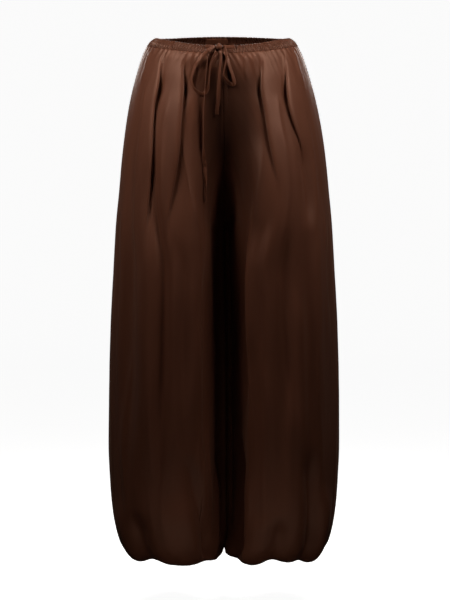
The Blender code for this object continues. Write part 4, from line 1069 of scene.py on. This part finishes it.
def make_stitches(name, line, out, material):
    """A row of thread stitches lying on the cloth, round a closed line in metres."""
    line, out = np.concatenate([line, line[:1]]), np.concatenate([out, out[:1]])
    along = np.concatenate([[0], np.cumsum(np.linalg.norm(np.diff(line, axis=0), axis=1))])
    angle = np.arange(STITCH_ROUND) / STITCH_ROUND * 2 * np.pi
    points = STITCH_ROUND * len(STITCH_ALONG)
    verts, faces = [], []
    for start in np.arange(0.5, along[-1] / MM - STITCH_LENGTH, STITCH_PITCH):
        at = (start + STITCH_LENGTH * np.array(STITCH_ALONG)) * MM
        middle = np.column_stack([np.interp(at, along, line[:, k]) for k in range(3)])
        up = np.array([np.interp(at[1], along, out[:, k]) for k in range(3)])
        forward = middle[-1] - middle[0]
        forward /= np.linalg.norm(forward)
        across = np.cross(forward, up)
        middle = middle + up * np.array(STITCH_UP)[:, None] * MM
        size = STITCH_WIDE / 2 * MM * np.array(STITCH_SIZE)
        ring = across[None] * np.cos(angle)[:, None] + up[None] * np.sin(angle)[:, None]
        index = np.arange(points).reshape(-1, STITCH_ROUND) + len(verts) * points
        verts.append((middle[:, None] + ring[None] * size[:, None, None]).reshape(-1, 3))
        faces += grid_faces(index, True).tolist() + [index[0][::-1].tolist(), index[-1].tolist()]
    return dress(turned_outward(name, np.concatenate(verts), faces), material, "tie_satin")


def make_buttonhole(name, outer, x, material):
    """A worked slot in the casing's face, where a lead of the tie comes out."""
    line = placed(outer, 1)
    high_row, row, low_row = BUTTONHOLE_ROWS
    column = int(np.argmin(np.hypot(line[row, :, 0] - x * MM, np.where(line[row, :, 1] < 0, 0.0, 1.0))))
    middle = line[row, column]
    sideways = line[row, (column + 4) % line.shape[1]] - line[row, column - 4]
    sideways /= np.linalg.norm(sideways)
    down = line[low_row, column] - line[high_row, column]
    down -= sideways * float(down @ sideways)
    down /= np.linalg.norm(down)
    out = np.cross(sideways, down)
    out *= -np.sign(out[1])
    turn = np.arange(BUTTONHOLE_TURN) / BUTTONHOLE_TURN * 2 * np.pi
    bead = np.arange(BUTTONHOLE_BEAD) / BUTTONHOLE_BEAD * 2 * np.pi
    high, wide = BUTTONHOLE_HIGH / 2 * MM, BUTTONHOLE_WIDE / 2 * MM
    path = down[None] * (np.cos(turn) * high)[:, None] + sideways[None] * (np.sin(turn) * wide)[:, None]
    away = down[None] * (np.cos(turn) / high)[:, None] + sideways[None] * (np.sin(turn) / wide)[:, None]
    away /= np.linalg.norm(away, axis=1, keepdims=True)
    size = (0.5 + 0.08 * np.cos(turn * BUTTONHOLE_STITCHES)) * MM
    rings = (middle + out * 0.25 * MM + path)[:, None]
    rings = rings + away[:, None] * (np.cos(bead)[None, :] * size[:, None])[..., None]
    rings = rings + out[None, None] * (np.sin(bead)[None, :] * size[:, None])[..., None]
    index = np.arange(BUTTONHOLE_TURN * BUTTONHOLE_BEAD).reshape(BUTTONHOLE_TURN, BUTTONHOLE_BEAD)
    faces = grid_faces(np.concatenate([index, index[:1]]), True).tolist()
    return dress(turned_outward(name, rings.reshape(-1, 3), faces), material, "tie_satin")


def make_hem_band(name, node, side, material):
    """The gathered ring inside the leg's end, that the ankle comes out through."""
    drops = np.array([CUFF_DROP - 2.0, CUFF_DROP - 0.1])
    points, normals = [], []
    for back in (False, True):
        grid, normal, _ = base_panel(drops, back, 481)
        take = np.linspace(0, 480, CUFF_COLUMNS // 2 + 1).round().astype(int)
        take = take[::-1][:-1] if back else take[:-1]
        points.append(grid[-1, take])
        normals.append(normal[-1, take])
    points, normals = np.concatenate(points), np.concatenate(normals)
    middle = np.array([CUFF_CENTRE, 0.0, 0.0])
    radial = points - middle
    radial[:, 2] = 0
    radial /= np.linalg.norm(radial, axis=1, keepdims=True)
    radius = np.linalg.norm((points - middle)[:, :2], axis=1)
    start = section(CUFF_DROP)["height"] + SEAM_GAP
    share = np.arange(len(radial)) / len(radial)
    uneven = lattice_noise(share * 30, share * 0 + 0.5, 71 if side > 0 else 72)
    outer, inner = [], []
    for u in np.linspace(0.0, 1.0, CUFF_ROWS):
        wave = np.cos(2 * np.pi * CUFF_GATHERS * share + 1.4 * uneven + 0.5 * u)
        ripple = CUFF_RIPPLE * wave * (1 - 0.4 * u)
        reach = radius * (1 - u) + CUFF_RADIUS_TOP * u - ripple * min(1.0, 4 * u + 0.2)
        height = np.full(len(radial), start + CUFF_WIDTH * u)
        line = np.column_stack([(middle + radial * reach[:, None])[:, :2], height])
        turn = min(1.0, 3 * u)
        direction = normals * (1 - turn) - radial * turn
        direction /= np.linalg.norm(direction, axis=1, keepdims=True)
        outer.append(line)
        inner.append(line - direction * CUFF_WALL)
    outer, inner = np.array(outer), np.array(inner)
    obj = cloth_wall(name, placed(outer, side), placed(inner, side), True)
    dress(obj, material, "hem_satin", node)
    closed = np.concatenate([outer, outer[:, :1]], axis=1)
    around, deep = path_length(closed, 1).max() * MM, path_length(outer, 0).max() * MM
    area = min(cell_area(closed), around * deep)


def front_cloud():
    """Points of the fronts and the waistband in millimetres, for hanging the ties clear of them."""
    drops = np.linspace(0.3, 330, 130)
    clouds = [
        placed(panel_grid(drops, side, False), side).reshape(-1, 3) / MM for side in (SIDE_LEFT, SIDE_RIGHT)
    ]
    top, bottom = band_profile(np.linspace(np.pi * 1.2, np.pi * 1.8, 400))
    for u in np.linspace(0, 1, 12):
        line = placed(top * (1 - u) + bottom * u, 1) / MM
        line[:, 1] -= 2.4 * 4 * u * (1 - u)
        clouds.append(line)
    cloud = np.concatenate(clouds)
    return cloud[(np.abs(cloud[:, 0] + 15) < 60) & (cloud[:, 1] < 0)]


def make_strip(name, node, rows, cloud, stations, material):
    """One run of the flat satin tie. Its line in metres comes back with it."""
    line, turns = tie_line(rows, cloud, stations)
    along = np.linspace(0, 1, stations)
    seed = sum(ord(c) for c in name)
    half_width = TIE_WIDTH / 2 * (1 + 0.05 * lattice_noise(along * 9, along * 0 + 0.5, seed))
    half_thick = TIE_THICK / 2 * (1.15 + 0.15 * lattice_noise(along * 14, along * 0 + 0.5, seed + 1))
    obj = swept(name, line * MM, *tie_frames(line, turns), half_width * MM, half_thick * MM)
    return dress(obj, material, "tie_satin", node), line * MM


def make_knot(material):
    """The knot: a soft core, and the turn of the tie that goes round it."""
    centre = np.array([KNOT["x"], KNOT["y"], KNOT["z"]])
    hx, hy, hz = KNOT["half"]
    t = np.linspace(0.0, np.pi, CORE_RINGS + 2)[1:-1][:, None]
    a = np.arange(CORE_ROUND)[None, :] / CORE_ROUND * 2 * np.pi
    bulge = 1 + 0.05 * np.cos(3 * a + 1.0) + 0.05 * np.sin(2 * a + 4 * t)
    x = -(hx - 0.4) * squarish(np.cos(t), CORE_SOFT) * np.ones_like(a)
    y = (hy - 0.9) * bulge * squarish(np.sin(t), CORE_SOFT) * squarish(np.cos(a), CORE_SOFT)
    z = (hz - 0.9) * bulge * squarish(np.sin(t), CORE_SOFT) * squarish(np.sin(a), CORE_SOFT)
    points = np.stack([x, y, z], axis=-1).reshape(-1, 3)
    ends = np.array([[-(hx - 0.4), 0, 0], [hx - 0.4, 0, 0]])
    index = np.arange(CORE_RINGS * CORE_ROUND).reshape(CORE_RINGS, CORE_ROUND)
    verts = (np.concatenate([points, ends]) + centre) * MM
    faces = grid_faces(index, True).tolist() + fans(index[[0, -1]], index.size)
    core = dress(turned_outward("knot_core", verts, faces), material, "tie_satin", "tie_knot")
    a = np.arange(TURN_RINGS) / TURN_RINGS * 2 * np.pi
    ring_line = np.column_stack([0.6 * np.sin(a), -(hy - 0.1) * np.cos(a), (hz + 0.05) * np.sin(a)])
    out = np.column_stack([np.zeros(TURN_RINGS), -np.cos(a) / hy, np.sin(a) / hz])
    out /= np.linalg.norm(out, axis=1, keepdims=True)
    lean = math.radians(TURN_LEAN)
    side = np.array([math.cos(lean), 0.0, -math.sin(lean)])
    b = np.arange(TURN_ROUND) / TURN_ROUND * 2 * np.pi
    wide = squarish(np.cos(b), TURN_SOFT) * TURN_HALF
    high = squarish(np.sin(b), TURN_SOFT) * TURN_THICK
    crown = TURN_CROWN * (1 - (wide / TURN_HALF) ** 2)
    pinch = 1 - TURN_PINCH * np.cos(a) ** 4
    rings = ring_line[:, None] + side * wide[None, :, None] * pinch[:, None, None]
    rings = rings + out[:, None] * high[None, :, None] + out[:, None] * crown[None, :, None]
    index = np.arange(TURN_RINGS * TURN_ROUND).reshape(TURN_RINGS, TURN_ROUND)
    faces = grid_faces(np.concatenate([index, index[:1]]), True)
    band = mesh_object("knot_band", (rings.reshape(-1, 3) + centre) * MM, faces)
    return core, dress(band, material, "tie_satin")


def make_ties(material):
    """The bow's two loops and two tails, with the leads and the knot that go with them."""
    cloud = front_cloud()
    for node, (stations, rows) in TIES.items():
        name = node.replace("tie_", "") + "_strip"
        make_strip(name, node, rows, cloud, stations * 6, material)
    core, band = make_knot(material)


def make_label(material):
    """A bare woven patch inside the back of the waistband."""
    count, rows = 60, 16
    xs = np.linspace(LABEL["x"] - LABEL["half_width"], LABEL["x"] + LABEL["half_width"], count)
    phi = np.arccos(np.clip((xs - WAIST_SHIFT) / section(0.0)["outer"], -1, 1))
    top, bottom = band_profile(phi)
    deep = np.linalg.norm(bottom - top, axis=1)
    down = (bottom - top) / deep[:, None]
    face = np.cross(np.gradient(top, axis=0), down)
    face /= np.linalg.norm(face, axis=1, keepdims=True)
    face *= np.sign(face[:, 1])[:, None]
    start = (deep - LABEL["height"]) / 2
    from_end = np.minimum(np.arange(count), count - 1 - np.arange(count))
    near, far = [], []
    for u in np.linspace(0, 1, rows):
        line = top + down * (start + LABEL["height"] * u)[:, None]
        rise = 0.25 * (1 - np.exp(-np.minimum(min(u, 1 - u) * rows, from_end) / 1.5))
        near.append(line - face * (LABEL_INSET + LABEL_GAP + 0.05))
        far.append(line - face * (LABEL_INSET + LABEL_GAP + LABEL["thick"] - 0.2 + rise)[:, None])
    obj = cloth_wall("label_patch", placed(np.array(near), 1), placed(np.array(far), 1))
    dress(obj, material, "label_weave", "label")


def area_light(name, place, aim, size, power, colour):
    """A soft rectangular light that the camera doesn't see."""
    light = bpy.data.lights.new(name, "AREA")
    light.shape = "RECTANGLE"
    light.size, light.size_y = size
    light.energy = power
    light.color = colour
    obj = new_object(name, light)
    obj.location = place
    obj.rotation_euler = (Vector(aim) - Vector(place)).to_track_quat("-Z", "Y").to_euler()
    obj.visible_camera = False


def make_camera():
    """The camera at the photograph's angle."""
    camera = bpy.data.cameras.new("camera")
    camera.lens, camera.sensor_width = CAMERA_LENS, CAMERA_SENSOR
    camera.clip_start, camera.clip_end = 0.05, 40.0
    eye = new_object("camera", camera)
    eye.location = CAMERA_PLACE
    eye.rotation_euler = (math.radians(90.0 - CAMERA_PITCH), 0.0, 0.0)
    bpy.context.scene.camera = eye


def make_sweep(stage):
    """A round pale floor that curves up to a wall on every side."""
    turn = np.linspace(0, np.pi / 2, SWEEP_BEND)
    flat = np.linspace(0.02, SWEEP_FLAT, SWEEP_RINGS + 1)[:-1]
    reach = np.concatenate([flat, SWEEP_FLAT + SWEEP_CURVE * np.sin(turn)])
    rise = np.concatenate([np.zeros(SWEEP_RINGS), SWEEP_CURVE * (1 - np.cos(turn))])
    reach, rise = np.append(reach, reach[-1]), np.append(rise, SWEEP_HEIGHT)
    around = np.linspace(0, 2 * np.pi, SWEEP_ROUND + 1)[:-1]
    height = np.broadcast_to(stage.floor_height + rise[:, None], (len(reach), SWEEP_ROUND))
    grid = np.stack([reach[:, None] * np.cos(around), reach[:, None] * np.sin(around), height], axis=-1)
    index = np.arange(len(reach) * SWEEP_ROUND).reshape(-1, SWEEP_ROUND)
    mesh = bpy.data.meshes.new("sweep")
    faces = grid_faces(index, True)[:, ::-1].tolist() + [index[0].tolist()]
    mesh.from_pydata(grid.reshape(-1, 3).tolist(), [], faces)
    mesh.polygons.foreach_set("use_smooth", [True] * len(mesh.polygons))
    sweep = new_object("sweep", mesh)
    paper = Recipe("pale_paper").finish(
        Base_Color=tuple(stage.floor_colour) + (1.0,),
        Roughness=0.9,
        Emission_Color=(1.0, 1.0, 1.0, 1.0),
        Emission_Strength=stage.floor_glow,
    )
    mesh.materials.append(paper)
    sweep.visible_diffuse = sweep.visible_glossy = False


def make_lights(stage):
    """The studio's lights, the light that the floor gives back, and the room's own."""
    for name, place, aim, size, source, share, colour in LIGHTS:
        area_light(name, place, aim, size, getattr(stage, source) * share, colour)
    place = (0.0, FLOOR_LIGHT["y"], stage.floor_height + FLOOR_LIGHT["above"])
    area_light("floor_light", place, FLOOR_LIGHT["aim"], FLOOR_LIGHT["size"], stage.bounce_power, BOUNCED)
    world = bpy.data.worlds.new("studio")
    world.use_nodes = True
    background = world.node_tree.nodes["Background"]
    background.inputs["Color"].default_value = (1.0, 1.0, 1.0, 1.0)
    background.inputs["Strength"].default_value = stage.room_light
    bpy.context.scene.world = world
    bpy.context.scene.view_settings.view_transform = "Standard"


class TrousersCloth(bpy.types.PropertyGroup):
    thickness: bpy.props.FloatProperty(
        name="Cloth thickness",
        description="Thickness of the satin",
        default=0.0006,
        min=0.0002,
        unit="LENGTH",
    )
    colour: bpy.props.FloatVectorProperty(
        name="Satin colour", description="Colour of the legs", default=(0.086, 0.029, 0.0155), subtype="COLOR"
    )
    roughness: bpy.props.FloatProperty(
        name="Roughness",
        description="How dull the satin is",
        default=0.47,
        min=0.0,
        max=1.0,
        subtype="FACTOR",
    )
    shine: bpy.props.FloatProperty(
        name="Shine",
        description="Strength of the satin's reflections",
        default=0.33,
        min=0.0,
        max=1.0,
        subtype="FACTOR",
    )
    shine_colour: bpy.props.FloatVectorProperty(
        name="Shine colour",
        description="Colour that the satin gives its reflections",
        default=(1.0, 0.58, 0.42),
        subtype="COLOR",
    )
    sheen: bpy.props.FloatProperty(
        name="Sheen",
        description="Light caught by the satin's fine hairs",
        default=0.04,
        min=0.0,
        max=1.0,
        subtype="FACTOR",
    )
    band_shade: bpy.props.FloatProperty(
        name="Waistband shade",
        description="Waistband's colour as a share of the legs'",
        default=0.74,
        min=0.0,
        max=2.0,
    )
    tie_shade: bpy.props.FloatProperty(
        name="Tie shade", description="Ties' colour as a share of the legs'", default=1.15, min=0.0, max=2.0
    )
    label_shade: bpy.props.FloatProperty(
        name="Label shade",
        description="Bare label's colour as a share of the legs'",
        default=1.3,
        min=0.0,
        max=2.0,
    )


class TrousersStage(bpy.types.PropertyGroup):
    floor_height: bpy.props.FloatProperty(
        name="Floor height", description="Where the floor lies below the waist", default=-1.09, unit="LENGTH"
    )
    floor_colour: bpy.props.FloatVectorProperty(
        name="Floor colour",
        description="Colour of the floor and backdrop",
        default=(0.86, 0.86, 0.86),
        subtype="COLOR",
    )
    floor_glow: bpy.props.FloatProperty(
        name="Floor glow", description="Light given off by the floor and backdrop", default=0.95, min=0.0
    )
    key_power: bpy.props.FloatProperty(
        name="Key lights",
        description="Power of each light above the front",
        default=5.4,
        min=0.0,
        unit="POWER",
    )
    fill_power: bpy.props.FloatProperty(
        name="Fill light", description="Power of the broad light in front", default=0.3, min=0.0, unit="POWER"
    )
    edge_power: bpy.props.FloatProperty(
        name="Edge lights",
        description="Power of each light beside the trousers",
        default=0.3,
        min=0.0,
        unit="POWER",
    )
    back_power: bpy.props.FloatProperty(
        name="Back lights", description="Power of each light behind", default=6.0, min=0.0, unit="POWER"
    )
    bounce_power: bpy.props.FloatProperty(
        name="Floor bounce",
        description="Power of the light that the floor gives back",
        default=0.36,
        min=0.0,
        unit="POWER",
    )
    room_light: bpy.props.FloatProperty(
        name="Room light", description="Brightness of the room all round", default=0.003, min=0.0
    )


class TrousersPiece:
    """What every step shares: it can be undone, and it reads the cloth's settings."""

    bl_options = {"REGISTER", "UNDO"}

    @property
    def cloth(self):
        return bpy.context.scene.trousers_cloth


class TROUSERS_OT_stage(TrousersPiece, bpy.types.Operator):
    """Make the camera, the sweep and the lights"""

    bl_idname = "trousers.stage"
    bl_label = "Stage"

    def execute(self, context):
        make_camera()
        make_sweep(context.scene.trousers_stage)
        make_lights(context.scene.trousers_stage)
        return {"FINISHED"}


class TROUSERS_OT_ties(TrousersPiece, bpy.types.Operator):
    """Make the drawstring's leads, knot, loops and tails"""

    bl_idname = "trousers.ties"
    bl_label = "Ties"

    def execute(self, context):
        make_ties(satin("tie_satin", self.cloth, self.cloth.tie_shade, TIE_STREAK))
        return {"FINISHED"}


class TROUSERS_OT_panels(TrousersPiece, bpy.types.Operator):
    """Make the two fronts and two backs"""

    bl_idname = "trousers.panels"
    bl_label = "Panels"

    def execute(self, context):
        # The legs' satin has shade painted into its colour in the recess between the legs.
        material = satin("leg_satin", self.cloth, paints_shade=True)
        for node, side, back in PANELS:
            make_panel(node + "_cloth", node, side, back, self.cloth, material)
        return {"FINISHED"}


class TROUSERS_OT_waistband(TrousersPiece, bpy.types.Operator):
    """Make the gathered casing"""

    bl_idname = "trousers.waistband"
    bl_label = "Waistband"

    def execute(self, context):
        make_waistband(satin("waistband_satin", self.cloth, self.cloth.band_shade, BAND_STREAK))
        return {"FINISHED"}


class TROUSERS_OT_hem_bands(TrousersPiece, bpy.types.Operator):
    """Make the gathered rings at the ankles"""

    bl_idname = "trousers.hem_bands"
    bl_label = "Hem bands"

    def execute(self, context):
        material = satin("hem_satin", self.cloth)
        for node, side in (("hem_band_left", SIDE_LEFT), ("hem_band_right", SIDE_RIGHT)):
            make_hem_band(node + "_cloth", node, side, material)
        return {"FINISHED"}


class TROUSERS_OT_label(TrousersPiece, bpy.types.Operator):
    """Make the bare woven label"""

    bl_idname = "trousers.label"
    bl_label = "Label"

    def execute(self, context):
        make_label(satin("label_weave", self.cloth, self.cloth.label_shade, LABEL_STREAK))
        return {"FINISHED"}


class TROUSERS_PT_sidebar(bpy.types.Panel):
    bl_label = "Trousers"
    bl_idname = "TROUSERS_PT_sidebar"
    bl_space_type = "VIEW_3D"
    bl_region_type = "UI"
    bl_category = "Trousers"

    def draw(self, context):
        for group in (context.scene.trousers_cloth, context.scene.trousers_stage):
            column = self.layout.column(align=True)
            for name in group.__annotations__:
                column.prop(group, name)
        for step in STEPS:
            self.layout.operator(step.bl_idname)


STEPS = (
    TROUSERS_OT_stage,
    TROUSERS_OT_ties,
    TROUSERS_OT_panels,
    TROUSERS_OT_waistband,
    TROUSERS_OT_hem_bands,
    TROUSERS_OT_label,
)
CLASSES = (TrousersCloth, TrousersStage, *STEPS, TROUSERS_PT_sidebar)


def register():
    for item in CLASSES:
        bpy.utils.register_class(item)
    bpy.types.Scene.trousers_cloth = bpy.props.PointerProperty(type=TrousersCloth)
    bpy.types.Scene.trousers_stage = bpy.props.PointerProperty(type=TrousersStage)


def unregister():
    del bpy.types.Scene.trousers_cloth
    del bpy.types.Scene.trousers_stage
    for item in reversed(CLASSES):
        bpy.utils.unregister_class(item)


def main():
    register()
    for step in STEPS:
        group, name = step.bl_idname.split(".")
        getattr(getattr(bpy.ops, group), name)()


if __name__ == "__main__":
    main()
